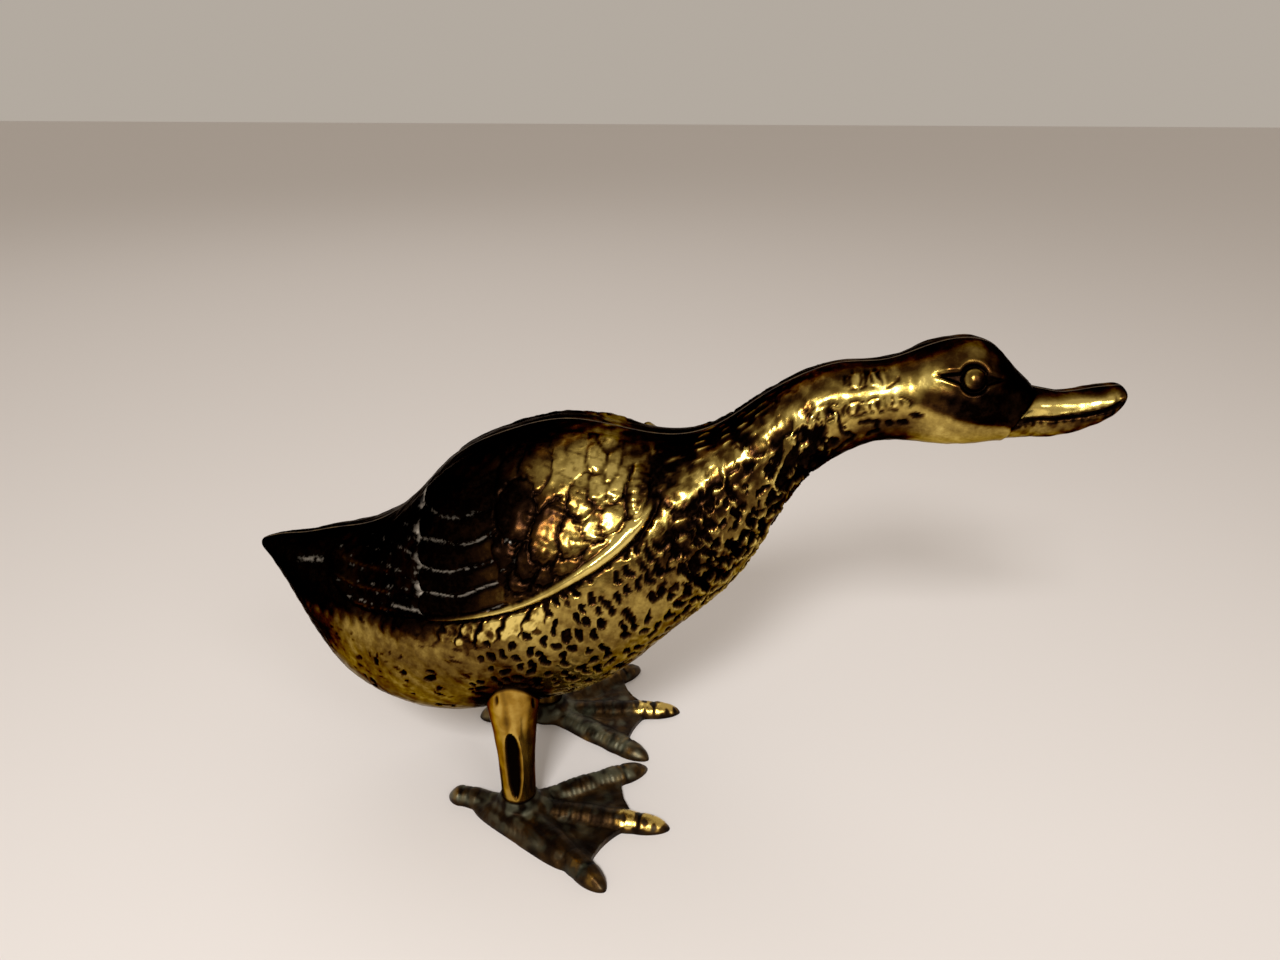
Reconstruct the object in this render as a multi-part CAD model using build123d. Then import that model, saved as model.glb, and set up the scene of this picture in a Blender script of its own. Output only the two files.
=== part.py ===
from build123d import *
import math
import os
from collections import namedtuple

# A brass duck stepping forward with its neck stretched out. +X points to the bill, +Y to the
# duck's left and +Z up. The origin is on the table, under the middle of the duck. Millimetres.

# Overall sizes
overall_length = 200.0
belly_height = 21.4
crown_height = 119.0
body_width = 60.0

# Hollow casting in two halves, brazed together along the middle
wall = 3.0
seam_width = 0.4
joint_gap = 0.1
fit_clearance = 0.05
overrun = 5.0

# Bill, mouth and eyes
bill_width = 13.4
mouth_width = 0.8
mouth_depth = 0.7
eye_width = 4.6
eye_relief = 1.3
eye_recess_length = 13.4
eye_recess_height = 6.2
eye_recess_depth = 0.7

# Folded wings, three steps of feathers one over the other
primary_relief = 0.9
secondary_relief = 1.5
covert_relief = 2.1
wing_spacing = 12.0

# Legs and the studs that hold them to the body
leg_spacing = 39.8
leg_set_back = 33.5
leg_top_width = 12.6
leg_middle_width = 9.4
leg_ankle_width = 8.4
leg_groove_width = 3.2
leg_groove_length = 17.0
leg_groove_depth = 1.4
leg_groove_height = 15.5
stud_diameter = 5.0
stud_depth_in_leg = 11.0
boss_diameter = 11.0
boss_height = 7.0

# Webbed feet
ankle_height = 5.6
ankle_boss_width = 9.6
ankle_boss_foot_width = 15.0
toe_width = 7.2
web_thickness = 1.8
middle_toe_length = 38.3
outer_toe_length = 34.6
inner_toe_length = 35.8
hind_toe_length = 19.5
middle_toe_angle = -5.1
outer_toe_angle = -44.6
inner_toe_angle = 30.8
hind_toe_angle = 169.0
web_edge_reach = 24.4
toe_spacing = 0.5

# Countersunk screws that hold the legs to the feet
screw_diameter = 4.0
screw_head_diameter = 7.4
screw_head_height = 2.0
screw_depth_in_leg = 10.0
screw_recess = 0.3
screw_slot_width = 1.0
screw_slot_depth = 0.9
drill_point_depth = 1.0

# Cross-sections of the body from the tail forward, as shares: how far along the length, top
# and bottom between belly and crown, width, and how far up the section it is widest.
station_shares = [
    (0.000, 0.433, 0.417, 0.040, 0.50),
    (0.025, 0.448, 0.348, 0.155, 0.56),
    (0.055, 0.455, 0.243, 0.303, 0.56),
    (0.095, 0.472, 0.108, 0.471, 0.53),
    (0.140, 0.490, 0.043, 0.645, 0.50),
    (0.190, 0.548, 0.010, 0.806, 0.49),
    (0.250, 0.670, 0.000, 0.935, 0.48),
    (0.320, 0.749, 0.030, 1.000, 0.47),
    (0.390, 0.784, 0.068, 0.987, 0.47),
    (0.460, 0.765, 0.150, 0.916, 0.47),
    (0.520, 0.754, 0.267, 0.781, 0.47),
    (0.570, 0.790, 0.354, 0.613, 0.47),
    (0.610, 0.851, 0.458, 0.471, 0.48),
    (0.650, 0.902, 0.619, 0.387, 0.49),
    (0.695, 0.937, 0.716, 0.342, 0.50),
    (0.745, 0.948, 0.762, 0.323, 0.50),
    (0.790, 0.984, 0.760, 0.342, 0.52),
    (0.830, 1.000, 0.759, 0.361, 0.52),
    (0.865, 0.972, 0.768, 0.323, 0.50),
    (0.890, 0.916, 0.777, 0.265, 0.50),
    (0.910, 0.872, 0.788, 0.177, 0.50),
]
# The bill, in the same shares, with its width as a share of the bill's own
bill_shares = [
    (0.870, 0.890, 0.785, 0.88, 0.48),
    (0.900, 0.896, 0.778, 1.00, 0.48),
    (0.925, 0.884, 0.783, 0.97, 0.48),
    (0.950, 0.888, 0.797, 0.97, 0.50),
    (0.972, 0.897, 0.819, 0.96, 0.56),
    (0.988, 0.901, 0.843, 0.78, 0.62),
    (0.996, 0.896, 0.862, 0.46, 0.60),
    (1.000, 0.882, 0.872, 0.16, 0.50),
]
arc_handle_share = 0.5523
cavity_start_share = 0.09
cavity_end_share = 0.835

# Wing outlines seen from the side, along the length and between belly and crown
wing_front_shares = [
    (0.504, 0.790),
    (0.504, 0.722),
    (0.489, 0.617),
    (0.447, 0.523),
    (0.404, 0.476),
    (0.359, 0.442),
    (0.304, 0.414),
    (0.258, 0.402),
]
wing_top_share = 0.95
wing_back_share = 0.3
primary_tip_shares = [(0.200, 0.385), (0.150, 0.395), (0.128, 0.440), (0.138, 0.500)]
secondary_tip_shares = [(0.244, 0.470), (0.238, 0.560), (0.232, 0.650)]
covert_tip_shares = [(0.345, 0.500), (0.352, 0.620), (0.335, 0.740)]

# Mouth line and eye seen from the side, in the same shares
mouth_shares = [(0.880, 0.827), (0.889, 0.835), (0.915, 0.842), (0.943, 0.857), (0.985, 0.873)]
eye_along_share = 0.8245
eye_up_share = 0.9405
eye_recess_along_share = 0.8225

# A toe from the ankle out, as shares of its length and of the toe width, up to the rounded nail
toe_shares = [
    (0.06, 1.04),
    (0.30, 0.86),
    (0.50, 1.00),
    (0.63, 0.86),
    (0.72, 0.98),
    (0.79, 0.84),
    (0.86, 0.98),
]
hind_toe_shares = [
    (0.10, 1.00),
    (0.42, 0.80),
    (0.62, 0.92),
    (0.74, 0.86),
    (0.82, 0.90),
]
web_end_share = 0.80

# Places worked out from the sizes above
tail_x = -overall_length / 2
body_height = crown_height - belly_height
leg_x = -leg_set_back
leg_y = -leg_spacing / 2

Row = namedtuple("Row", "x half_width top widest bottom")


def along(share):
    """Place along the duck, from tail to bill."""
    return tail_x + share * overall_length


def up(share):
    """Height above the table, from belly to crown."""
    return belly_height + share * body_height


def make_rows(shares, width):
    """Cross-sections in millimetres from a table of shares."""
    rows = []
    for length_share, top_share, bottom_share, width_share, widest_share in shares:
        top = up(top_share)
        bottom = up(bottom_share)
        widest = bottom + (top - bottom) * widest_share
        rows.append(Row(along(length_share), width_share * width / 2, top, widest, bottom))
    return rows


def moved_out(rows, distance, top_share=1):
    """The rows moved out square to the skin by a distance, or in if it is negative."""
    moved = []
    for place, row in enumerate(rows):
        before = rows[max(place - 1, 0)]
        after = rows[min(place + 1, len(rows) - 1)]
        run = after.x - before.x
        side = distance * math.hypot(1, (after.half_width - before.half_width) / run)
        over = top_share * distance * math.hypot(1, (after.top - before.top) / run)
        under = distance * math.hypot(1, (after.bottom - before.bottom) / run)
        moved.append(Row(row.x, row.half_width + side, row.top + over, row.widest, row.bottom - under))
    return moved


def cross_section(row):
    """One closed outline across the duck, of four quarter arcs."""
    x, half_width, top, widest, bottom = row
    reach = arc_handle_share * half_width
    arcs = []
    for end, side in ((top, 1), (bottom, 1), (bottom, -1), (top, -1)):
        rise = arc_handle_share * (end - widest)
        points = [(x, 0, end), (x, side * reach, end)]
        points += [(x, side * half_width, widest + rise), (x, side * half_width, widest)]
        arcs.append(Bezier(*points))
    return Wire(arcs)


def skin(rows):
    """A solid drawn smoothly through the rows."""
    return Solid.make_loft([cross_section(row) for row in rows])


def row_at(rows, x):
    """The cross-section at a place between two rows."""
    after = next(place for place, row in enumerate(rows) if row.x >= x)
    low, high = rows[after - 1], rows[after]
    share = (x - low.x) / (high.x - low.x)
    return Row(*(a + share * (b - a) for a, b in zip(low, high)))


def half_width_at(rows, x, z):
    """How far the skin is from the middle at a place along and a height."""
    row = row_at(rows, x)
    end = row.top if z > row.widest else row.bottom
    return row.half_width * math.sqrt(1 - ((z - row.widest) / (end - row.widest)) ** 2)


def height_under(rows, x, y):
    """Height of the belly skin at a place along and across."""
    row = row_at(rows, x)
    return row.widest - (row.widest - row.bottom) * math.sqrt(1 - (y / row.half_width) ** 2)


def side_prism(outline, inner_y):
    """A side-view outline drawn out from inner_y past the duck's right side."""
    face = Plane.XZ * make_face(outline)
    return Pos(0, inner_y, 0) * extrude(face, amount=body_width / 2 + overrun)


def side_points(shares):
    """Points of a side-view outline, from shares of the length and height."""
    return [(along(a), up(b)) for a, b in shares]


def mirrored(shape):
    """The same shape on the other side of the duck."""
    return mirror(shape, about=Plane.XZ)


def at_leg(shape, height=0):
    """The shape moved to the axis of the right leg, at a height above the table."""
    return Pos(leg_x, leg_y, height) * shape


def round_bar(diameter, length):
    """An upright round bar that stands on the origin."""
    return extrude(Circle(diameter / 2), amount=length)


body_rows = make_rows(station_shares, body_width)
bill_rows = make_rows(bill_shares, bill_width)
leg_top = height_under(body_rows, leg_x, leg_y)
boss_top = leg_top + wall + boss_height


def wing_layer(tip_shares, relief):
    """One step of feathers: a raised layer that ends in a curve at its tips."""
    front = side_points(wing_front_shares)
    tips = side_points(tip_shares)
    kept = [point for point in front if point[0] > tips[0][0]]
    edge = Spline(*kept, *tips)
    last = (tips[-1][0], up(wing_top_share))
    first = (kept[0][0], up(wing_top_share))
    outline = edge + Line(tips[-1], last) + Line(last, first) + Line(first, kept[0])
    prism = side_prism(outline, -wing_spacing / 2)
    return skin(moved_out(body_rows, relief, wing_back_share)) & prism


def make_wing():
    """The folded right wing, of three layers that step down towards the tail."""
    layers = wing_layer(primary_tip_shares, primary_relief)
    layers += wing_layer(secondary_tip_shares, secondary_relief)
    layers += wing_layer(covert_tip_shares, covert_relief)
    return layers


def make_mouth_cut():
    """The line between the two halves of the bill, cut a little into its side."""
    line = Spline(*side_points(mouth_shares))
    outline = trace(line, mouth_width)
    prism = Pos(0, -seam_width, 0) * extrude(Plane.XZ * outline, amount=bill_width)
    return prism - skin(moved_out(bill_rows, -mouth_depth))


def make_eye():
    """The almond-shaped recess round the eye, and the eye itself."""
    middle_x = along(eye_recess_along_share)
    middle_z = up(eye_up_share)
    reach = eye_recess_length / 2
    rise = eye_recess_height / 2
    rear = (middle_x - reach, middle_z)
    front = (middle_x + reach, middle_z)
    lids = ThreePointArc(rear, (middle_x, middle_z + rise), front)
    lids += ThreePointArc(front, (middle_x, middle_z - rise), rear)
    recess = side_prism(lids, 0) - skin(moved_out(body_rows, -eye_recess_depth))
    eye_x = along(eye_along_share)
    skin_y = -half_width_at(body_rows, eye_x, middle_z)
    ball_y = skin_y + eye_width / 2 - eye_relief + eye_recess_depth
    ball = Pos(eye_x, ball_y, middle_z) * Sphere(eye_width / 2)
    return recess, ball


def make_outer():
    """The whole casting as a full solid, with wings, eyes and bill."""
    wing = make_wing()
    mouth = make_mouth_cut()
    recess, ball = make_eye()
    outer = skin(body_rows) + skin(bill_rows)
    outer = outer + wing + mirrored(wing)
    outer = outer - recess - mirrored(recess)
    outer = outer + ball + mirrored(ball)
    return outer - mouth - mirrored(mouth)


def make_shell():
    """The casting with its hollow, and a boss over each leg bored for the stud."""
    cavity_start = along(cavity_start_share)
    cavity_end = along(cavity_end_share)
    inner = [row for row in moved_out(body_rows, -wall) if cavity_start < row.x < cavity_end]
    boss = at_leg(round_bar(boss_diameter, boss_top))
    boss += mirrored(boss)
    bore = at_leg(round_bar(stud_diameter + 2 * fit_clearance, boss_top + overrun))
    bore += mirrored(bore)
    return make_outer() - (skin(inner) - boss) - bore


def make_leg():
    """A tapered round leg with a long hollow in its outer side, cut to the belly at its top."""
    above = leg_top + leg_top_width
    ankle = (leg_ankle_width / 2, ankle_height)
    middle = (leg_middle_width / 2, (ankle_height + leg_top) / 2)
    thigh = (leg_top_width / 2, leg_top)
    outline = Line((0, ankle_height), ankle) + Spline(ankle, middle, thigh)
    outline += Polyline(thigh, (leg_top_width / 2, above), (0, above), (0, ankle_height))
    leg = at_leg(revolve(Plane.XZ * make_face(outline), axis=Axis.Z))
    leg -= skin(moved_out(body_rows, joint_gap))
    slot = Plane.XZ * Rot(0, 0, 90) * SlotOverall(leg_groove_length, leg_groove_width)
    groove_y = leg_y - leg_middle_width / 2 + leg_groove_depth
    leg -= Pos(leg_x, groove_y, leg_groove_height) * extrude(slot, amount=leg_top_width)
    stud_bore = round_bar(stud_diameter + 2 * fit_clearance, above)
    leg -= at_leg(stud_bore, leg_top - stud_depth_in_leg - joint_gap)
    screw_bore = round_bar(screw_diameter + 2 * fit_clearance, screw_depth_in_leg + drill_point_depth)
    return leg - at_leg(screw_bore, ankle_height)


def make_stud():
    """The plain rod between the leg and the boss inside the body."""
    rod = round_bar(stud_diameter, boss_top - leg_top + stud_depth_in_leg)
    return at_leg(rod, leg_top - stud_depth_in_leg)


def make_toe(shares, length, angle):
    """A half-round toe with a flat sole, swelling at its joints and rounded at the nail."""
    points = [(a * length, b * toe_width / 2) for a, b in shares]
    start = (points[0][0], 0)
    tip = (length, 0)
    nail_x, nail_radius = points[-1]
    nail_bend = (nail_x + arc_handle_share * (length - nail_x), nail_radius)
    tip_bend = (length, arc_handle_share * nail_radius)
    outline = Line(start, points[0]) + Spline(*points)
    outline += Bezier(points[-1], nail_bend, tip_bend, tip) + Line(tip, start)
    toe = revolve(make_face(outline), axis=Axis.X, revolution_arc=180)
    return at_leg(Rot(0, 0, angle) * toe)


def from_ankle(reach, angle):
    """A point on the table, so far from the ankle and in that direction."""
    turn = math.radians(angle)
    return (leg_x + reach * math.cos(turn), leg_y + reach * math.sin(turn))


def make_web():
    """The skin between the three front toes, with a hollow edge between each two."""
    ankle = (leg_x, leg_y)
    outer_end = from_ankle(web_end_share * outer_toe_length, outer_toe_angle)
    middle_end = from_ankle(web_end_share * middle_toe_length, middle_toe_angle)
    inner_end = from_ankle(web_end_share * inner_toe_length, inner_toe_angle)
    outer_hollow = from_ankle(web_edge_reach, (outer_toe_angle + middle_toe_angle) / 2)
    inner_hollow = from_ankle(web_edge_reach, (inner_toe_angle + middle_toe_angle) / 2)
    outline = Line(ankle, outer_end)
    outline += ThreePointArc(outer_end, outer_hollow, middle_end)
    outline += ThreePointArc(middle_end, inner_hollow, inner_end)
    outline += Line(inner_end, ankle)
    return extrude(make_face(outline), amount=web_thickness)


def screw_profile(clearance):
    """Side profile of a countersunk screw, from the middle out, grown by a clearance."""
    head = screw_head_diameter / 2 + clearance
    shank = screw_diameter / 2 + clearance
    top = ankle_height + screw_depth_in_leg
    neck = screw_recess + screw_head_height
    start = (0, screw_recess)
    return Polyline(start, (head, screw_recess), (shank, neck), (shank, top), (0, top), start)


def make_foot():
    """A webbed foot with four toes and a low boss for the leg to stand on."""
    foot = make_toe(toe_shares, middle_toe_length, middle_toe_angle)
    foot += make_toe(toe_shares, outer_toe_length, outer_toe_angle)
    foot += make_toe(toe_shares, inner_toe_length, inner_toe_angle)
    foot += make_toe(hind_toe_shares, hind_toe_length, hind_toe_angle)
    foot += make_web()
    slant = math.degrees(math.atan((ankle_boss_foot_width - ankle_boss_width) / 2 / ankle_height))
    foot += at_leg(extrude(Circle(ankle_boss_foot_width / 2), amount=ankle_height, taper=slant))
    hole = revolve(Plane.XZ * make_face(screw_profile(fit_clearance)), axis=Axis.Z)
    hole += round_bar(screw_head_diameter + 2 * fit_clearance, screw_recess)
    foot -= at_leg(hole)
    return foot & right_side(toe_spacing / 2)


def make_screw():
    """The slotted countersunk screw, up through the foot into the leg."""
    screw = revolve(Plane.XZ * make_face(screw_profile(0)), axis=Axis.Z)
    lengthwise = (Align.CENTER, Align.CENTER, Align.MIN)
    slot = Box(screw_head_diameter + overrun, screw_slot_width, screw_slot_depth, align=lengthwise)
    return at_leg(screw - Pos(0, 0, screw_recess) * slot)


def right_side(distance):
    """All the room on the duck's right, from a distance beside its middle plane."""
    room = overall_length + overrun
    return Pos(0, -distance, 0) * Box(room, room, room, align=(Align.CENTER, Align.MAX, Align.MIN))


def make_body():
    """The two halves of the casting and the braze between them."""
    shell = make_shell()
    right_half = shell & right_side(seam_width / 2)
    braze = shell & right_side(-seam_width / 2) & mirrored(right_side(-seam_width / 2))
    return right_half, braze


def save(shape, name):
    """One STEP file for one piece."""
    export_step(shape, f"parts/{name}.step")


os.makedirs("parts", exist_ok=True)
body_half, seam_braze = make_body()
save(body_half, "body_half_right")
save(mirrored(body_half), "body_half_left")
save(seam_braze, "seam_braze")

for name, make in (
    ("leg", make_leg),
    ("leg_stud", make_stud),
    ("foot", make_foot),
    ("foot_screw", make_screw),
):
    piece = make()
    save(piece, name + "_right")
    save(mirrored(piece), name + "_left")
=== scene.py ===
import itertools
import math
import bmesh
import bpy
import numpy as np
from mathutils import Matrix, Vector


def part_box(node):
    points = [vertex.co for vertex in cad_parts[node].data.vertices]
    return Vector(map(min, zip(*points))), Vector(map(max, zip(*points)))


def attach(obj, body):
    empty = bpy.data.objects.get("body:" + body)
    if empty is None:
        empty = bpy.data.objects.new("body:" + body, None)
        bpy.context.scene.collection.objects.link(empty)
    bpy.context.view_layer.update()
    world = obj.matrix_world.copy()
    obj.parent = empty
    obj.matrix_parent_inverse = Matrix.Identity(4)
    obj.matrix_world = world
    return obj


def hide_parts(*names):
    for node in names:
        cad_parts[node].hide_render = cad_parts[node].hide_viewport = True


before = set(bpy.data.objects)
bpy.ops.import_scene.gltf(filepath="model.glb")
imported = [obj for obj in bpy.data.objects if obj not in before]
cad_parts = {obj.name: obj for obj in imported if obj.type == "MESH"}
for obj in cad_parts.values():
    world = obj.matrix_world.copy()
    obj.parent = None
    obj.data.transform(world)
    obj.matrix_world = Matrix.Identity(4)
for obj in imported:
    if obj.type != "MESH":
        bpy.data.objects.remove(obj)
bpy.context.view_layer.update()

from types import SimpleNamespace
from mathutils import Matrix, Vector

# Body halves.
# The body, neck, head and bill are one hollow brass casting in two halves, right and left.
# The feathers were cut into the wax and chased cold after casting, then the brass was
# darkened, and rubbed bright again where a hand or a cloth reaches.
# Part of the bright and dark in this colour is painted light: painted highlights on the shoulder, rim, tiles,
# neck crest, temple, brow, eye and bill, and painted shade on the bill and the eye.
mm = 0.001
body_low, body_high = (np.array(corner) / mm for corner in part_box("body_half_right"))
overall_length = body_high[0] - body_low[0]
tail_x = body_low[0]
bill_tip_x = body_high[0]
belly_height = body_low[2]
body_height = body_high[2] - belly_height
body_width = 60.0
bill_width = 13.4
seam_half = -body_high[1]
end_rounding = 0.8
bill_blend = 1.2
head_end_blend = 2.0
bill_root_blend = 4.0

# Cross-sections from the tail forward, as shares: how far along the length, top and bottom
# between belly and crown, width, and how far up the section it is widest.
station_shares = [
    (0.000, 0.433, 0.417, 0.040, 0.50),
    (0.025, 0.448, 0.348, 0.155, 0.56),
    (0.055, 0.455, 0.243, 0.303, 0.56),
    (0.095, 0.472, 0.108, 0.471, 0.53),
    (0.140, 0.490, 0.043, 0.645, 0.50),
    (0.190, 0.548, 0.010, 0.806, 0.49),
    (0.250, 0.670, 0.000, 0.935, 0.48),
    (0.320, 0.749, 0.030, 1.000, 0.47),
    (0.390, 0.784, 0.068, 0.987, 0.47),
    (0.460, 0.765, 0.150, 0.916, 0.47),
    (0.520, 0.754, 0.267, 0.781, 0.47),
    (0.570, 0.790, 0.354, 0.613, 0.47),
    (0.610, 0.851, 0.458, 0.471, 0.48),
    (0.650, 0.902, 0.619, 0.387, 0.49),
    (0.695, 0.937, 0.716, 0.342, 0.50),
    (0.745, 0.948, 0.762, 0.323, 0.50),
    (0.790, 0.984, 0.760, 0.342, 0.52),
    (0.830, 1.000, 0.759, 0.361, 0.52),
    (0.865, 0.972, 0.768, 0.323, 0.50),
    (0.890, 0.916, 0.777, 0.265, 0.50),
    (0.910, 0.872, 0.788, 0.177, 0.50),
]
bill_shares = [
    (0.870, 0.890, 0.785, 0.88, 0.48),
    (0.900, 0.896, 0.778, 1.00, 0.48),
    (0.925, 0.884, 0.783, 0.97, 0.48),
    (0.950, 0.888, 0.797, 0.97, 0.50),
    (0.972, 0.897, 0.819, 0.96, 0.56),
    (0.988, 0.901, 0.843, 0.78, 0.62),
    (0.996, 0.896, 0.862, 0.46, 0.60),
    (1.000, 0.882, 0.872, 0.16, 0.50),
]


def along(share):
    """Place along the duck, from tail to bill."""
    return tail_x + np.asarray(share) * overall_length


def up(share):
    """Height above the floor, from belly to crown."""
    return belly_height + np.asarray(share) * body_height


def smooth_curve(xs, ys):
    """A natural cubic curve through the points, as a function of x."""
    xs, ys = np.array(xs, float), np.array(ys, float)
    gaps = np.diff(xs)
    slopes = np.diff(ys) / gaps
    system = np.eye(len(xs))
    wanted = np.zeros(len(xs))
    for i in range(1, len(xs) - 1):
        system[i, i - 1:i + 2] = gaps[i - 1], 2 * (gaps[i - 1] + gaps[i]), gaps[i]
        wanted[i] = 6 * (slopes[i] - slopes[i - 1])
    bends = np.linalg.solve(system, wanted)

    def value(x):
        x = np.clip(x, xs[0], xs[-1])
        i = np.clip(np.searchsorted(xs, x) - 1, 0, len(gaps) - 1)
        after, before, gap = x - xs[i], xs[i + 1] - x, gaps[i]
        curve = (bends[i] * before**3 + bends[i + 1] * after**3) / (6 * gap)
        low = (ys[i] / gap - bends[i] * gap / 6) * before
        return curve + low + (ys[i + 1] / gap - bends[i + 1] * gap / 6) * after

    return value


def step(low, high, value):
    """0 below low, 1 above high, and a smooth rise between."""
    share = np.clip((value - low) / (high - low), 0, 1)
    return share * share * (3 - 2 * share)


def fade(low, high, value):
    """1 below low, 0 above high, and a smooth fall between."""
    return 1 - step(low, high, value)


def span(value, rise_start, rise_end, fall_start, fall_end):
    """1 over a stretch of the value, with a smooth rise before it and a smooth fall after it."""
    return step(rise_start, rise_end, value) * fade(fall_start, fall_end, value)


def arch(share):
    """A round edge: 0 at the start of the share, steep at first, and level at 1."""
    return np.sqrt(np.clip(1 - (1 - np.clip(share, 0, 1)) ** 2, 0, 1))


def make_section(shares, width):
    """Top, bottom, half width and widest height of the cross-section at any place along."""
    places, tops, bottoms, widths, widests = zip(*shares)
    curves = [smooth_curve(along(places), ys) for ys in (tops, bottoms, widths, widests)]

    def section(x):
        top, bottom, wide, widest = (curve(x) for curve in curves)
        top, bottom = up(top), up(bottom)
        return np.stack([top, -bottom, wide * width / 2, bottom + (top - bottom) * widest])

    return section


body_section = make_section(station_shares, body_width)
bill_section = make_section(bill_shares, bill_width)
bill_start_x = along(bill_shares[0][0])
head_end_x = along(station_shares[-1][0])


def section_at(x):
    """The cross-section where the bill grows out of the head, and its rounded two ends."""
    head, bill = body_section(x), bill_section(x)
    larger = (head + bill + np.hypot(head - bill, bill_blend)) / 2 - bill_blend / 2
    joined = bill + (larger - bill) * fade(head_end_x - head_end_blend, head_end_x + head_end_blend, x)
    widest_joined = head[3] + (bill[3] - head[3]) * step(bill_start_x, head_end_x, x)
    joined[3] = np.where(x < head_end_x, widest_joined, bill[3])
    share = step(bill_start_x - bill_root_blend, bill_start_x, x)
    top, bottom, wide, widest = head + (joined - head) * share
    bottom = -bottom
    round_off = arch(np.minimum(x - tail_x, bill_tip_x - x) / end_rounding)
    top = widest + (top - widest) * round_off
    bottom = widest + (bottom - widest) * round_off
    return top, bottom, wide * round_off, widest


def skin_point(x, turn):
    """Point of the right half's skin: turn is 0 at the belly seam, 1 at the back seam."""
    top, bottom, wide, widest = section_at(x)
    angle = turn * math.pi
    end = np.where(turn > 0.5, top, bottom)
    out = np.sin(angle)
    seam = np.minimum(seam_half, wide)
    rise = np.abs(np.cos(angle)) * (end - widest)
    return np.stack([x, -(seam + (wide - seam) * out), widest + rise], axis=-1)


def skin_normal(x, turn):
    """The outward direction of the skin."""
    small, small_turn = 0.02, 0.002
    turn = np.clip(turn, 0, 1)
    ahead = np.minimum(x + small, bill_tip_x)
    behind = np.maximum(x - small, tail_x)
    lengthwise = skin_point(ahead, turn) - skin_point(behind, turn)
    less, more = np.clip(turn - small_turn, 0, 1), np.clip(turn + small_turn, 0, 1)
    round_body = skin_point(x, more) - skin_point(x, less)
    normal = np.cross(lengthwise, round_body)
    size = np.linalg.norm(normal, axis=-1, keepdims=True)
    ends = np.stack([np.sign(x), 0 * x, 0 * x], axis=-1)
    return np.where(size > 1e-9, normal / np.maximum(size, 1e-9), ends)


def side_curve(shares, steps=12):
    """A smooth line seen from the side, in millimetres, through points given in shares."""
    points = [(float(along(a)), float(up(b))) for a, b in shares]
    at = np.concatenate([[0], np.cumsum([math.dist(p, q) for p, q in zip(points, points[1:])])])
    fine = np.linspace(0, at[-1], steps * len(points))
    xs, zs = zip(*points)
    return np.stack([smooth_curve(at, xs)(fine), smooth_curve(at, zs)(fine)], axis=-1)


def near_curve(x, z, curve):
    """Distance to a line seen from the side, how far along it, and on which side (left is +)."""
    best, place, side = np.full(x.shape, 1e9), np.zeros(x.shape), np.zeros(x.shape)
    travelled = 0.0
    for start, end in zip(curve, curve[1:]):
        run = end - start
        length = math.hypot(*run)
        dx, dz = x - start[0], z - start[1]
        share = np.clip((dx * run[0] + dz * run[1]) / length**2, 0, 1)
        gap = np.hypot(dx - share * run[0], dz - share * run[1])
        closer = gap < best
        best = np.where(closer, gap, best)
        place = np.where(closer, travelled + share * length, place)
        side = np.where(closer, np.sign(run[0] * dz - run[1] * dx), side)
        travelled += length
    return best, place, side


def ripple(points, size, seed):
    """Smooth unevenness about 0 with waves about as long as size, the same for each seed."""
    draw = np.random.default_rng(seed)
    total = np.zeros(points.shape[0])
    for _ in range(7):
        direction = draw.normal(size=3)
        direction *= 2 * math.pi / (np.linalg.norm(direction) * size * draw.uniform(0.7, 1.5))
        total += np.sin(points @ direction + draw.uniform(0, 2 * math.pi))
    return total / 3


# Wing outline seen from the side: down the front, back along the rim and round the tips
wing_shares = [
    (0.488, 0.775), (0.500, 0.730), (0.503, 0.680), (0.489, 0.617), (0.452, 0.548), (0.420, 0.508),
    (0.370, 0.455), (0.313, 0.417), (0.260, 0.393), (0.215, 0.378), (0.170, 0.362), (0.140, 0.366),
    (0.118, 0.392), (0.108, 0.440), (0.104, 0.500),
]
rim_width_shares = [(0.24, 0.15), (0.28, 0.34), (0.35, 0.50), (0.42, 0.78), (0.48, 1.00), (0.52, 1.00)]
rim_width = 3.3
rim_relief = 0.75
rim_groove = 0.55
primary_relief = 0.9
feather_relief = 0.55
tip_step_width = 0.55
wing_spacing = 12.0
wing_back_share = 0.3
secondary_tip_shares = [(0.246, 0.380), (0.245, 0.470), (0.239, 0.560), (0.230, 0.650), (0.228, 0.760)]
covert_tip_shares = [(0.352, 0.440), (0.336, 0.520), (0.328, 0.600), (0.322, 0.680), (0.325, 0.790)]

# Long wing feathers: where their grooves lie, how far apart, and how deep they are cut
secondary_groove_shares = [(0.20, 0.500), (0.262, 0.508), (0.290, 0.515), (0.333, 0.551), (0.370, 0.590)]
secondary_pitch = 5.0
primary_groove_shares = [(0.09, 0.420), (0.119, 0.405), (0.151, 0.400), (0.195, 0.416), (0.25, 0.436)]
primary_pitch = 3.7
barb_pitch = 1.3
tail_streak_share = (0.067, 0.4225)
tail_pitch = 2.6
feather_lift = 0.55
groove_depth = 0.38
groove_width = 0.34

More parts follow.
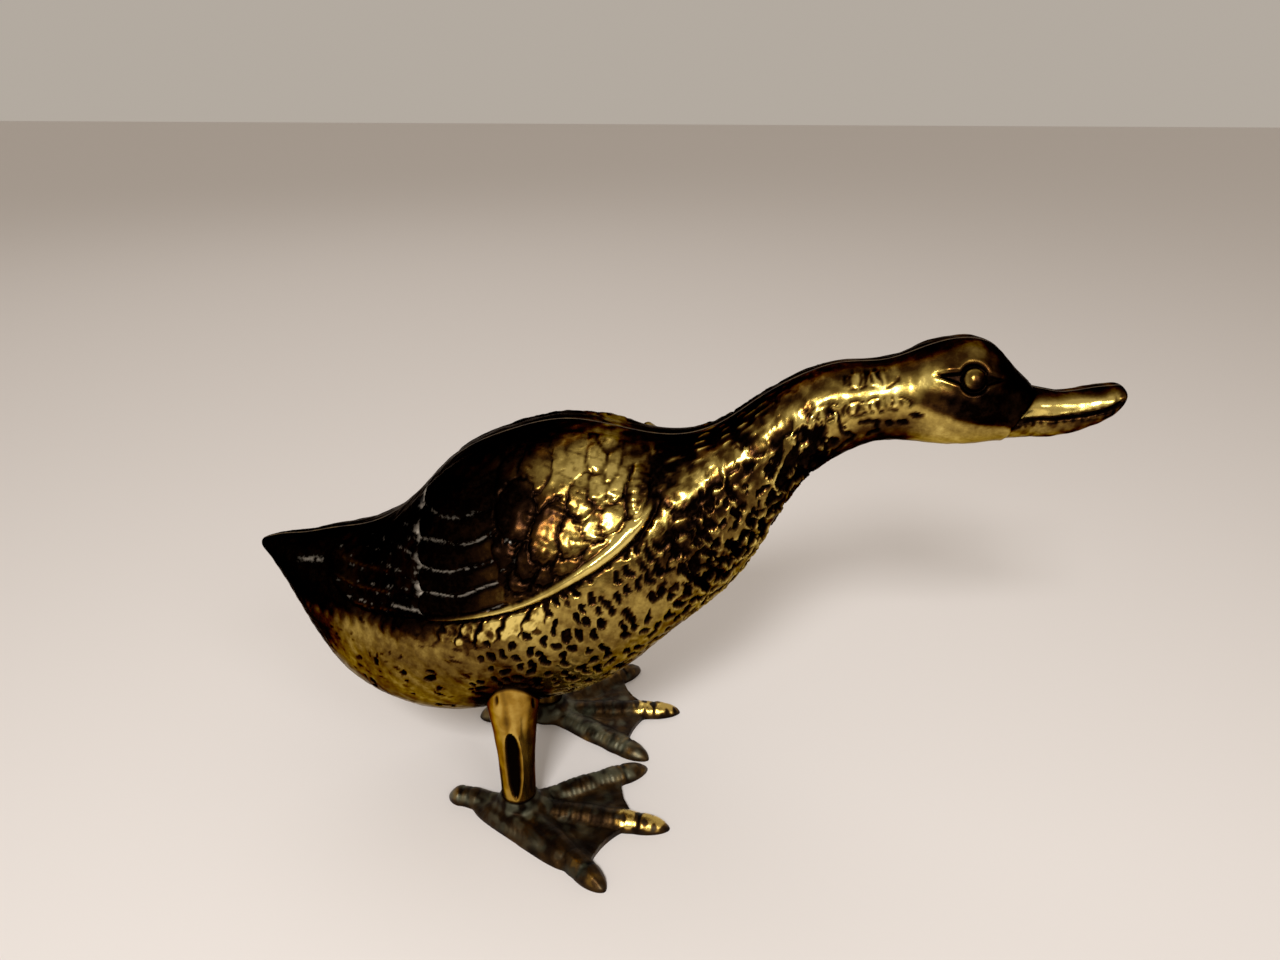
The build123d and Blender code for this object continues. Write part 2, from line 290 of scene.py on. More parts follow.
# Covert feathers over the front of the wing, rear and lower ones first: place of the middle,
# the way the tip points in degrees, length, width and height
covert_leaves = [
    (0.362, 0.5171, 240, 6.4, 5.0, 0.40), (0.385, 0.5350, 246, 6.0, 5.6, 0.45),
    (0.343, 0.5780, 252, 8.4, 6.4, 0.55), (0.343, 0.7000, 262, 9.0, 6.6, 0.40),
    (0.368, 0.5560, 262, 8.0, 5.0, 0.50), (0.369, 0.7230, 262, 9.0, 6.8, 0.40),
    (0.353, 0.6442, 256, 10.6, 8.8, 0.70), (0.408, 0.5600, 240, 7.0, 7.0, 0.40),
    (0.3905, 0.6080, 254, 11.6, 7.6, 0.85), (0.4180, 0.6150, 246, 10.4, 6.6, 0.45),
    (0.4385, 0.6240, 248, 5.6, 5.6, 0.60),
    (0.4240, 0.6760, 252, 7.6, 6.0, 0.45), (0.4560, 0.6450, 240, 7.4, 4.6, 0.50),
    (0.4420, 0.7040, 262, 7.8, 4.8, 1.05), (0.4620, 0.7000, 250, 8.0, 3.8, 0.85),
    (0.4522, 0.7355, 255, 7.0, 3.2, 1.05),
    (0.4326, 0.7481, 290, 6.6, 4.4, 1.50), (0.4429, 0.7648, 335, 5.4, 3.2, 1.10),
]
rib_feather = (0.4815, 0.6869, 264, 10.4, 4.8, 0.75)
rib_pitch = 1.15
rib_depth = 0.16
leaf_edge_width = 0.30
hatch_pitch = 1.2

# The line down the neck and along the breast that the small feather marks follow
flow_shares = [
    (0.100, 0.300), (0.200, 0.300), (0.300, 0.300), (0.440, 0.330), (0.530, 0.430), (0.590, 0.550),
    (0.640, 0.700), (0.700, 0.800), (0.800, 0.850), (0.900, 0.840),
]
mark_places = (0.0, 50.0, 80.0, 105.0, 130.0, 150.0, 175.0)
mark_pitches = (3.2, 3.1, 3.1, 3.5, 4.1, 4.6, 6.0)
mark_fills = (0.20, 0.32, 0.50, 0.88, 1.16, 1.16, 0.90)
flow_radii = (24.0, 27.0, 25.0, 20.0, 14.0, 11.0, 10.0)
mark_rows = 80
mark_columns = 60
mark_depth = 0.55
mark_lip = 0.26

# The smooth crest that runs up the side of the neck, with a painted highlight along it
crest_shares = [
    (0.500, 0.615), (0.545, 0.700), (0.600, 0.765), (0.648, 0.856), (0.700, 0.893), (0.740, 0.903),
    (0.785, 0.932),
]
crest_width = 3.3
crest_height = 0.6

# Marks cut one by one on the upper neck: outlined ovals, crooked strokes and small pits
neck_leaves = [
    (0.660, 0.8350, 205, 5.6, 3.0, 0.45), (0.682, 0.8560, 200, 6.0, 2.8, 0.45),
    (0.711, 0.9160, 190, 6.2, 2.6, 0.45), (0.7359, 0.9230, 188, 6.2, 2.8, 0.45),
    (0.7091, 0.8665, 192, 5.4, 2.6, 0.45), (0.732, 0.8700, 186, 5.2, 2.6, 0.45),
    (0.7530, 0.8760, 182, 4.4, 2.4, 0.40),
]
crooked_strokes = [
    [(0.6735, 0.7985), (0.6823, 0.7718), (0.6785, 0.7409)],
    [(0.6934, 0.8335), (0.6966, 0.8092), (0.7113, 0.7974), (0.6990, 0.7703), (0.6915, 0.7501)],
    [(0.7148, 0.8325), (0.7324, 0.8360), (0.7341, 0.8121), (0.7243, 0.7987)],
    [(0.6571, 0.8137), (0.6656, 0.7796), (0.6567, 0.7564), (0.6550, 0.7175)],
]
stroke_width = 0.40
curl_pitch = 2.1
jaw_pits = [(0.772, 0.8520), (0.760, 0.8340), (0.746, 0.8300)]

# Small upright feathers under the rim, and long strokes on the nape
tile_pitch = 4.9
tile_slit = 0.42
tile_height = 5.2
nape_pitch = 2.2
nape_radius = 17.0

# Eye, temple, jaw and bill seen from the side
eye_shares = (0.8263, 0.9340)
socket_rear_reach = 8.4
socket_front_reach = 7.2
socket_rise = 3.05
corner_rise = 1.9
socket_depth = 0.8
eye_radius = 2.45
temple_shares = (0.782, 0.932)
mouth_shares = [
    (0.876, 0.822), (0.889, 0.835), (0.915, 0.841), (0.943, 0.850), (0.965, 0.860), (0.985, 0.876),
]
bill_band_height = 1.9
bill_band_width = 1.5
bill_hollow_depth = 0.75
jaw_shares = [
    (0.755, 0.892), (0.766, 0.879), (0.789, 0.868), (0.818, 0.849), (0.842, 0.839), (0.876, 0.826),
]
bill_base_shares = [
    (0.905, 0.930), (0.8975, 0.895), (0.888, 0.867), (0.880, 0.840), (0.874, 0.800), (0.872, 0.760),
]

# Unevenness of the handwork: how long its slow, middling and fine waves are
drift_size = 9.0
tremor_size = 3.2
ragged_size = 1.5

# How dark each area is, added to the plain tone: old patina, and painted light where the shoulder, tiles,
# rim, crest, temple and bill band are lightened as painted highlights and the bill's top is darkened as
# painted shade
plain_tone = 0.36
area_tones = {
    "low_belly": 0.05, "rear_wing": 0.62, "back": 0.60, "tail_end": 0.30, "shoulder": -0.30, "tiles": -0.55,
    "rim": -0.26, "rear_coverts": 0.32, "front_coverts": -0.10, "throat": 0.16, "nape": 0.36, "crest": -0.34,
    "under_neck": 0.36, "neck_top": 0.36, "head": 0.11, "crown": 0.04, "head_top": 0.10, "face": 0.50,
    "cheek": 0.50, "temple_highlight": -0.42, "jaw": -0.20, "bill": 0.45, "bill_band": -0.50, "round_leg": 0.50,
    "blotches": 0.09, "tremor": 0.06,
}


def bell(distance, width):
    """1 in the middle, falling smoothly to nothing over the width."""
    return np.exp(-((distance / width) ** 2))


def row_curve(shares):
    """A line seen from the side, as its height at any place along the duck."""
    return smooth_curve(*zip(*[(along(a), up(b)) for a, b in shares]))


def tip_curve(shares):
    """A line seen from the side, as its place along the duck at any height."""
    return smooth_curve(*zip(*[(up(b), along(a)) for a, b in shares]))


# The cuts are placed by how they lie in the photograph: bounds on skin.length and skin.height are
# shares of the duck's length and height, and other distances are in millimetres.
def survey(points, turn, seed):
    """Where the points of the skin lie on the duck, and empty notes of what is cut there."""
    skin = SimpleNamespace(points=points, seed=seed)
    skin.x, skin.y, skin.z = points[:, 0], -points[:, 1], points[:, 2]
    skin.length = (skin.x - tail_x) / overall_length
    skin.height = (skin.z - belly_height) / body_height
    # The brightening note holds both rubbed brass and painted highlights.
    for note in ("lift", "dark", "dust", "rub"):
        setattr(skin, note, np.zeros(len(points)))
    skin.drift = ripple(points, drift_size, seed + 1)
    skin.tremor = ripple(points, tremor_size, seed + 2)
    skin.ragged = ripple(points, ragged_size, seed + 3)
    skin.midline = step(0.2, 1.2, skin.y - seam_half)
    outline = side_curve(wing_shares)
    edge = near_curve(skin.x, skin.z, outline)[0]
    over_back = up(1.2)
    closed = np.concatenate([outline, [(outline[-1][0], over_back), (outline[0][0], over_back)]])
    inside = np.zeros(len(points), bool)
    for (ax, az), (bx, bz) in zip(closed, np.roll(closed, -1, axis=0)):
        crosses = (az > skin.z) != (bz > skin.z)
        run = np.where(bz == az, 1e-9, bz - az)
        inside ^= crosses & (skin.x < (bx - ax) * (skin.z - az) / run + ax)
    skin.inset = np.where(inside, edge, -edge)
    low_on_back = 1 - (1 - wing_back_share) * step(0.5, 0.95, turn)
    skin.wing = low_on_back * step(wing_spacing / 2 - 0.8, wing_spacing / 2 + 1.6, skin.y)
    over_edge = step(0.66, 0.70, skin.height) * step(0.47, 0.485, skin.length)
    skin.outside = np.maximum(step(0.6, 1.4, -skin.inset), over_edge) * skin.midline
    return skin


def mark(skin, area, lift=0, dark=0, dust=0, rub=0):
    """Raise an area of the skin by millimetres, or cut it, and darken it, dust it, rub it bright or paint a
    highlight on it.
    """
    skin.lift += lift * area
    skin.dark += dark * area
    skin.dust += dust * area
    skin.rub += rub * area


def leaves_over(skin, leaves, jitter):
    """Lay leaf-shaped feathers over each other: height, dark edge, and place in the leaf."""
    height, crease, crown, cover = np.zeros((4, len(skin.x)))
    draws = np.random.default_rng(skin.seed + 9).uniform(-1, 1, (len(leaves), 4))
    for (share_x, share_z, turned, length, width, rise), draw in zip(leaves, draws):
        angle = math.radians(turned + 12 * jitter * draw[2])
        dx = skin.x - along(share_x) - jitter * draw[0]
        dz = skin.z - up(share_z) - jitter * draw[1]
        lengthwise = (dx * math.cos(angle) + dz * math.sin(angle)) / (length / 2)
        crosswise = (dz * math.cos(angle) - dx * math.sin(angle)) / (width / 2)
        narrow = 1 - 0.22 * np.clip(-lengthwise, 0, 1)
        out = np.sqrt(np.clip(lengthwise**2 + (crosswise / narrow) ** 2, 0, 60)) + 0.07 * skin.ragged
        within = step(-0.3, 0.3, (1 - out) * width / 2)
        dome = np.sqrt(np.clip(1 - np.clip(out, 0, 1) ** 2.6, 0, 1))
        toward_tip = np.clip(lengthwise, -1, 1)
        height += within * (rise * (0.25 + 0.75 * dome) * (0.55 + 0.45 * toward_tip) - height)
        ring = bell((out - 1.08) * width / 2, leaf_edge_width)
        crease = np.maximum(crease * (1 - within), ring * (1 - within))
        crown += within * (dome * (0.6 + 0.4 * toward_tip) - crown)
        cover = np.maximum(cover, within)
    return height, crease, crown, cover


def raise_wing(skin):
    """Raise the wing in three layers: primaries, secondaries, and coverts on top."""
    shoulder_top = step(0.62, 0.74, skin.height) * step(0.36, 0.44, skin.length)
    rounded = arch(skin.inset / (2.4 + 10.0 * shoulder_top)) * skin.wing
    above_groove = skin.z - row_curve(secondary_groove_shares)(skin.x)
    skin.second_row = (above_groove + 0.25 * skin.drift) / secondary_pitch
    local = skin.second_row - np.floor(skin.second_row)
    tip = 1.7 * (np.sqrt(np.clip(1 - (2 * local - 1) ** 2, 0, 1)) - 0.7)
    past_second = skin.x - tip_curve(secondary_tip_shares)(skin.z) + tip
    skin.second = step(0, tip_step_width, past_second) * (skin.inset > 0)
    skin.past_covert = skin.x - tip_curve(covert_tip_shares)(skin.z) + 0.5 * skin.tremor
    skin.covert = step(-0.3, 0.5, skin.past_covert) * (skin.inset > 0)
    mark(skin, rounded, lift=primary_relief)
    mark(skin, rounded * (skin.second + 0.7 * skin.covert), lift=feather_relief)
    behind = np.clip(-past_second, 0, 9)
    foot_of_step = bell(behind, 0.8) * (past_second < 0) * (skin.inset > 1)
    streak = bell(behind, 1.5) * (past_second < 0.2) * (skin.inset > 1)
    corner = bell(local - 0.12, 0.20) + 0.6 * bell(local - 0.9, 0.12)
    in_height = span(skin.height, 0.38, 0.43, 0.62, 0.68)
    broken = step(-1.2, 0.2, ripple(skin.points, 2.4, skin.seed + 6))
    mark(skin, foot_of_step * skin.wing, lift=-0.25)
    mark(skin, streak * corner * in_height * broken, dust=0.85)
    mark(skin, foot_of_step * in_height * step(0, 0.8, skin.ragged), dust=0.10)


def shingled(row, pitch, lap):
    """Rows that overlap: the place in a row, how far its groove is, and the slope of its shingle."""
    local = row - np.floor(row)
    return local, np.minimum(local, 1 - local) * pitch, (1 - local) * step(0, lap, local) - 0.5


def cut_long_feathers(skin):
    """Cut the secondaries and primaries: shingled, with a groove and dust between them."""
    points, seed = skin.points, skin.seed
    zone = skin.second * fade(-1.0, 0.6, skin.past_covert) * step(0.8, 2.2, skin.inset) * skin.wing
    local, gap, shingle = shingled(skin.second_row, secondary_pitch, 0.10)
    broken = step(-1.0, -0.2, ripple(points, 3.6, seed + 5) + 0.5 * skin.ragged)
    barbs = np.sin((skin.x + 0.9 * skin.z) * 2 * math.pi / barb_pitch + skin.drift)
    mark(skin, zone * shingle, lift=feather_lift)
    mark(skin, zone * bell(gap, groove_width), lift=-groove_depth)
    mark(skin, zone * bell((local - 0.5) * secondary_pitch, 0.3), lift=-0.10)
    mark(skin, zone * bell(gap, 0.26) * fade(0.60, 0.66, skin.height) * broken, dust=0.62)
    mark(skin, zone * bell(gap - 0.5, 0.5), dark=0.5)
    mark(skin, zone * barbs, lift=0.035)

    row = (skin.z - row_curve(primary_groove_shares)(skin.x) + 0.15 * skin.drift) / primary_pitch
    local, gap, shingle = shingled(row, primary_pitch, 0.14)
    zone = (1 - skin.second) * step(0.3, 1.4, skin.inset) * skin.wing * fade(0.60, 0.70, skin.height)
    shown = span(skin.length, 0.112, 0.13, 0.19, 0.23) * fade(0.45, 0.50, skin.height)
    shown = shown * step(-0.9, 0.0, skin.tremor)
    broken = step(0.1, 0.7, ripple(points, 3.0, seed + 7) + 0.4 * skin.ragged)
    mark(skin, zone * shingle, lift=0.5)
    mark(skin, zone * bell(gap, groove_width), lift=-groove_depth)
    mark(skin, zone * bell((local - 0.16) * primary_pitch, 0.36) * shown, rub=1.5)
    mark(skin, zone * bell((local - 0.42) * primary_pitch, 0.3) * broken, dust=0.6)
    mark(skin, zone * bell(gap, 0.26) * step(0.4, 1.0, ripple(points, 3.4, seed + 8)), dust=0.5)

    # Tail feathers behind the wing tips: a few fine lines and one dusty streak
    tail_zone = fade(-2.0, -0.6, skin.inset) * fade(0.10, 0.13, skin.length) * step(0.03, 0.05, skin.length)
    above, behind = skin.z - up(tail_streak_share[1]), skin.x - along(tail_streak_share[0])
    line = (above - 0.10 * behind) / tail_pitch
    streak = bell(above - 0.16 * behind, 0.5) * (skin.y > 3) * span(skin.length, 0.055, 0.075, 0.095, 0.10)
    mark(skin, tail_zone * bell((line - np.round(line)) * tail_pitch, 0.3), lift=-0.12)
    mark(skin, streak * step(-1.0, -0.2, skin.ragged), dust=0.5)


def cut_coverts(skin):
    """Lay the covert feathers over the front of the wing, and roll its rim."""
    width = rim_width * np.interp(skin.length, *zip(*rim_width_shares))
    below_top = fade(0.62, 0.68, skin.height)
    past_rim = step(width, width + 0.8, skin.inset)
    zone = skin.covert * (past_rim * below_top + step(0.5, 2.0, skin.inset) * (1 - below_top))
    front_top = step(0.715, 0.75, skin.height) * step(0.445, 0.475, skin.length)
    zone = zone * (0.35 + 0.65 * skin.wing) * step(4.0, 7.0, skin.y) * (1 - 0.8 * front_top)
    height, crease, crown, cover = leaves_over(skin, covert_leaves, 0.25)
    gold = step(0.36, 0.41, skin.length)
    bright = 0.20 + 0.40 * step(0.36, 0.43, skin.length)
    dusty = crease * fade(0.345, 0.36, skin.length) * step(0.2, 0.9, skin.tremor)
    dusty = dusty * span(skin.height, 0.49, 0.52, 0.62, 0.66)
    mark(skin, zone * (height - 0.45 * crease - 0.15 + 0.07 * skin.tremor), lift=1)
    mark(skin, zone * crease * step(-1.3, -0.2, skin.tremor), dark=0.95)
    mark(skin, zone * cover * bright * step(0.55, 0.95, crown), rub=1)
    mark(skin, zone * cover * fade(0.2, 0.6, crown), dark=0.25)
    mark(skin, zone * crease * gold * step(0.0, 0.8, skin.drift), dark=-0.3)
    mark(skin, zone * dusty, dust=0.40)

    # Fine hatching on the feathers, cut across them in short strokes
    stroke = np.sin((skin.z + 0.25 * skin.x + 0.3 * skin.drift) * 2 * math.pi / hatch_pitch)
    patch = step(0.1, 0.6, ripple(skin.points, 4.5, skin.seed + 20)) * zone
    flecks = step(0.55, 0.95, ripple(skin.points, 2.0, skin.seed + 21)) * zone * gold
    mark(skin, patch * stroke, lift=0.06)
    mark(skin, patch * step(0.3, 0.9, -stroke), dark=0.30)
    mark(skin, flecks, lift=-0.12, dark=0.30)

    # The long ribbed feather at the top of the rim: a painted highlight on its rear part and keel, and
    # painted shade along its front edge
    height, crease, crown, cover = leaves_over(skin, [rib_feather], 0.15)
    below_back = fade(0.70, 0.735, skin.height)
    height, crease, cover = height * below_back, crease * below_back, cover * below_back
    ahead = skin.x - along(rib_feather[0])
    rib = np.sin((skin.z - up(rib_feather[1]) + 0.1 * ahead) * 2 * math.pi / rib_pitch)
    on_side = step(5.0, 8.0, skin.y)
    front_edge = step(-1.2, -0.4, ahead + 1.5)
    laid = cover * on_side
    skin.lift += laid * (primary_relief + feather_relief + height - skin.lift)
    mark(skin, laid * rib * step(0.2, 0.7, crown), lift=rib_depth)
    mark(skin, on_side * crease, lift=-0.5, dark=0.9)
    mark(skin, laid * bell(ahead + 0.9, 0.8), lift=0.35, rub=1.2)
    mark(skin, laid * (0.20 * front_edge + 0.25 * step(0.2, 0.9, -rib)), dark=1)
    skin.dark *= 1 - 0.6 * laid * (1 - front_edge)
    mark(skin, laid * (1 - front_edge) * step(0.1, 0.5, crown), rub=1.4)

    # Above the rim the front edge of the wing is lost among dark broken cuts
    lost = bell(skin.inset - 0.4, 1.7) * step(0.60, 0.66, skin.height) * on_side
    lost = lost * (1 - cover) * step(-1.0, 0.1, skin.ragged + 0.6 * skin.tremor)
    mark(skin, lost, lift=-0.25, dark=0.7)

    # The rim: a smooth roll, rubbed and with a painted highlight along it, and a ragged cut outside it
    # darkened as painted shade
    on_rim = step(0.235, 0.27, skin.length) * below_top * (skin.y > 6)
    middle = (skin.inset - 0.48 * width) / (0.52 * width)
    skin.rim = np.clip(1 - middle**2, 0, 1) ** 0.7 * on_rim
    inner_line = bell(skin.inset - width * 1.06, 0.35) * on_rim * step(-0.8, 0.1, skin.tremor)
    outer_line = bell(skin.inset + 0.5 + 0.25 * skin.ragged, 0.55) * below_top * step(0.10, 0.14, skin.length)
    mark(skin, skin.rim, lift=rim_relief)
    mark(skin, inner_line, lift=-0.25, dark=0.45)
    mark(skin, outer_line * np.maximum(skin.wing, 0.4), lift=-rim_groove)
    mark(skin, outer_line * step(0.24, 0.30, skin.length), dark=0.9)
    mark(skin, skin.rim * step(0.26, 0.33, skin.length), rub=2.0)
    skin.dark *= 1 - 0.8 * skin.rim


def cut_small_feathers(skin):
    """Cut the small feather marks down the neck, over the breast and along the belly."""
    points, seed = skin.points, skin.seed
    gap, place, side = near_curve(skin.x, skin.z, side_curve(flow_shares))
    skin.turned = np.arctan2(skin.y, -side * gap)
    fill = np.interp(place, mark_places, mark_fills)
    fill = fill * (1 - 0.30 * step(1.6, 2.0, skin.turned) * step(0.52, 0.60, skin.length))
    girth = skin.turned * np.interp(place, mark_places, flow_radii) + 0.8 * ripple(points, 7.0, seed + 12)
    table = np.arange(0, 190, 0.5)
    rows = np.concatenate([[0], np.cumsum(0.5 / np.interp(table[1:], mark_places, mark_pitches))])
    row_at = np.interp(place + 0.8 * ripple(points, 7.0, seed + 11), table, rows)
    jitter = np.random.default_rng(seed + 13).uniform(-1, 1, (mark_rows, mark_columns, 6))
    pit, lip = np.zeros((2, len(place)))
    for row_step, column_step in itertools.product((-1, 0, 1), repeat=2):
        row = np.clip(np.round(row_at).astype(int) + row_step, 0, mark_rows - 1)
        pitch = np.interp(np.interp(row, rows, table), mark_places, mark_pitches)
        shifted = girth / (pitch * 1.08) - 0.5 * (row % 2)
        column = np.round(shifted).astype(int) + column_step
        draws = jitter[row, column % mark_columns]
        p = (row_at - row - 0.24 * draws[:, 0]) * pitch
        q = (shifted - column - 0.24 * draws[:, 1]) * pitch * 1.08
        tilt = 0.55 * draws[:, 2]
        p, q = p * np.cos(tilt) + q * np.sin(tilt), q * np.cos(tilt) - p * np.sin(tilt)
        long_half = pitch * (0.20 + 0.08 * draws[:, 3] + 0.16 * fill)
        wide_half = pitch * (0.28 + 0.10 * draws[:, 4] + 0.16 * fill)
        bow = (0.30 + 0.35 * draws[:, 5]) * np.abs(q) ** 1.3 / pitch**0.3
        corner = ((np.abs(p - bow) / long_half) ** 4 + (np.abs(q) / wide_half) ** 4) ** 0.25
        corner = corner + (0.10 + 0.14 * fill) * skin.ragged
        cut_here = step(-0.95, -0.65, draws[:, 3] + draws[:, 0] + 0.5 * (fill - 0.4))
        pit = np.maximum(pit, fade(0.86, 1.10, corner) * cut_here)
        ridge = bell(corner - 1.36, 0.26) * step(-0.5, 0.7, -p / long_half)
        lip = np.maximum(lip, ridge * step(-0.6, 0.2, draws[:, 1] + fill - 0.4))
    joined = ripple(points, 3.4, seed + 14) + 0.6 * skin.ragged
    pit = np.maximum(pit, step(0.55, 0.80, joined + 0.9 * (fill - 0.7)) * step(0.55, 0.75, fill))

    gap = near_curve(skin.x, skin.z, side_curve(crest_shares))[0]
    skin.crest = bell(gap + 0.3 * skin.tremor, crest_width) * step(2.0, 4.0, skin.y) * skin.outside
    skin.crest *= fade(0.748, 0.768, skin.length)
    mark(skin, skin.crest, lift=crest_height)
    rear = step(0.28, 0.34, skin.length)
    zone = skin.outside * fade(0.665, 0.695, skin.length + 0.02 * skin.tremor) * rear
    zone = zone * (1 - 0.8 * step(2.2, 2.7, skin.turned))
    zone = zone * (1 - 0.75 * skin.crest * step(-1.4, 0.2, skin.drift))
    depth = mark_depth * (0.45 + 0.55 * step(0.3, 0.9, skin.turned))
    on_neck = step(0.50, 0.58, skin.length)
    lip = lip * (1 - pit) * (0.4 + 0.6 * on_neck)
    mark(skin, zone * lip, lift=mark_lip)
    mark(skin, zone * pit * (0.10 * skin.ragged - depth), lift=1)
    mark(skin, zone * pit, dark=0.95)
    mark(skin, zone * lip * (0.6 + 0.6 * on_neck), rub=1)

    # Few and shallow marks with long fine scratches on the belly
    belly = skin.outside * (1 - rear) * step(0.12, 0.18, skin.length) * fade(0.27, 0.33, skin.height)
    few = pit * step(0.2, 0.7, ripple(points, 7.0, seed + 16))
    scratch = step(0.75, 1.2, ripple(points * (0.16, 1.0, 1.0), 1.3, seed + 17)) * step(-0.2, 0.6, skin.drift)
    mark(skin, belly * lip, lift=0.12)
    mark(skin, belly * few, lift=-0.3, dark=0.8)
    mark(skin, skin.outside * scratch * fade(0.36, 0.44, skin.length), dark=0.32)


def cut_neck(skin):
    """Cut the single marks of the upper neck, the nape's strokes and the tiles under the rim."""
    height, crease, crown, cover = leaves_over(skin, neck_leaves, 0.35)
    neck_side = 0.8 * skin.outside * step(0.65, 0.66, skin.length)
    curl = np.sin(skin.x * 2 * math.pi / curl_pitch + 1.4 * skin.tremor) * step(0.2, 0.7, crown)
    crease = crease * step(-0.7, 0.2, skin.ragged + skin.tremor)
    mark(skin, neck_side * (height * 0.6 - 0.16 * cover * (0.5 + 0.5 * curl)), lift=1)
    mark(skin, neck_side * crease, lift=-0.4, dark=0.85)
    mark(skin, neck_side * cover * step(0.1, 0.8, curl), dark=0.6)
    mark(skin, neck_side * cover * step(0.0, 0.8, -curl), rub=1.1)
    for corners in crooked_strokes:
        curve = np.array([(float(along(a)), float(up(b))) for a, b in corners])
        gap = near_curve(skin.x, skin.z, curve)[0]
        cut = bell(np.maximum(gap + 0.22 * skin.ragged, 0), stroke_width) * skin.outside
        mark(skin, cut, lift=-0.4, dark=0.95)
    for pit_along, pit_up in jaw_pits:
        gap = np.hypot((skin.x - along(pit_along)) / 1.6, skin.z - up(pit_up)) + 0.15 * skin.ragged
        mark(skin, fade(0.4, 0.9, gap), lift=-0.35, dark=0.9)

    below_rim = -skin.inset
    lower_edge = tile_height + 0.9 * skin.tremor
    zone = step(0.8, 1.3, below_rim) * fade(lower_edge, lower_edge + 1.0, below_rim)
    zone = zone * span(skin.length, 0.16, 0.19, 0.37, 0.40) * skin.midline
    zone = zone * (0.12 + 0.88 * step(0.255, 0.28, skin.length))
    tile = (skin.x - along(0.294) + 0.35 * below_rim + 0.55 * skin.tremor + 0.5 * skin.drift) / tile_pitch
    tile = (tile - np.round(tile)) * tile_pitch
    slit = bell(tile, tile_slit)
    dome = 1 - np.clip(np.abs(tile) / 2.4, 0, 1) ** 2
    skin.lift += zone * (0.45 * dome - 0.55 * slit - skin.lift)
    skin.dark *= 1 - 0.8 * zone
    # The tile faces are lightened and their domes brightened as painted highlights; the slits between them
    # are darkened.
    skin.tiles = zone * (1 - slit) * step(-1.4, 0.6, skin.tremor + 0.5 * skin.ragged)
    mark(skin, zone * slit, dark=0.95)
    mark(skin, skin.tiles * step(0.3, 0.8, dome) * step(-0.4, 0.5, skin.ragged), rub=0.8)
    mark(skin, zone * step(0.5, 0.9, skin.ragged - 0.4 * skin.tremor), dark=0.4)

    nape = skin.outside * span(skin.length, 0.49, 0.52, 0.60, 0.66)
    nape = nape * step(1.8, 2.2, skin.turned) * (1 - 0.8 * skin.crest)
    row = (skin.turned * nape_radius + 0.25 * skin.drift) / nape_pitch
    broken = step(-0.3, 0.4, ripple(skin.points * (0.4, 1.0, 1.0), 3.0, skin.seed + 18))
    ridge = bell((row - np.round(row)) * nape_pitch, 0.42) * broken
    # The raised strokes on the nape are lightened: rubbed brass and painted highlights.
    mark(skin, nape * ridge, lift=0.30, dark=-0.9, rub=0.6)
    mark(skin, nape, lift=-0.15, dark=0.75)


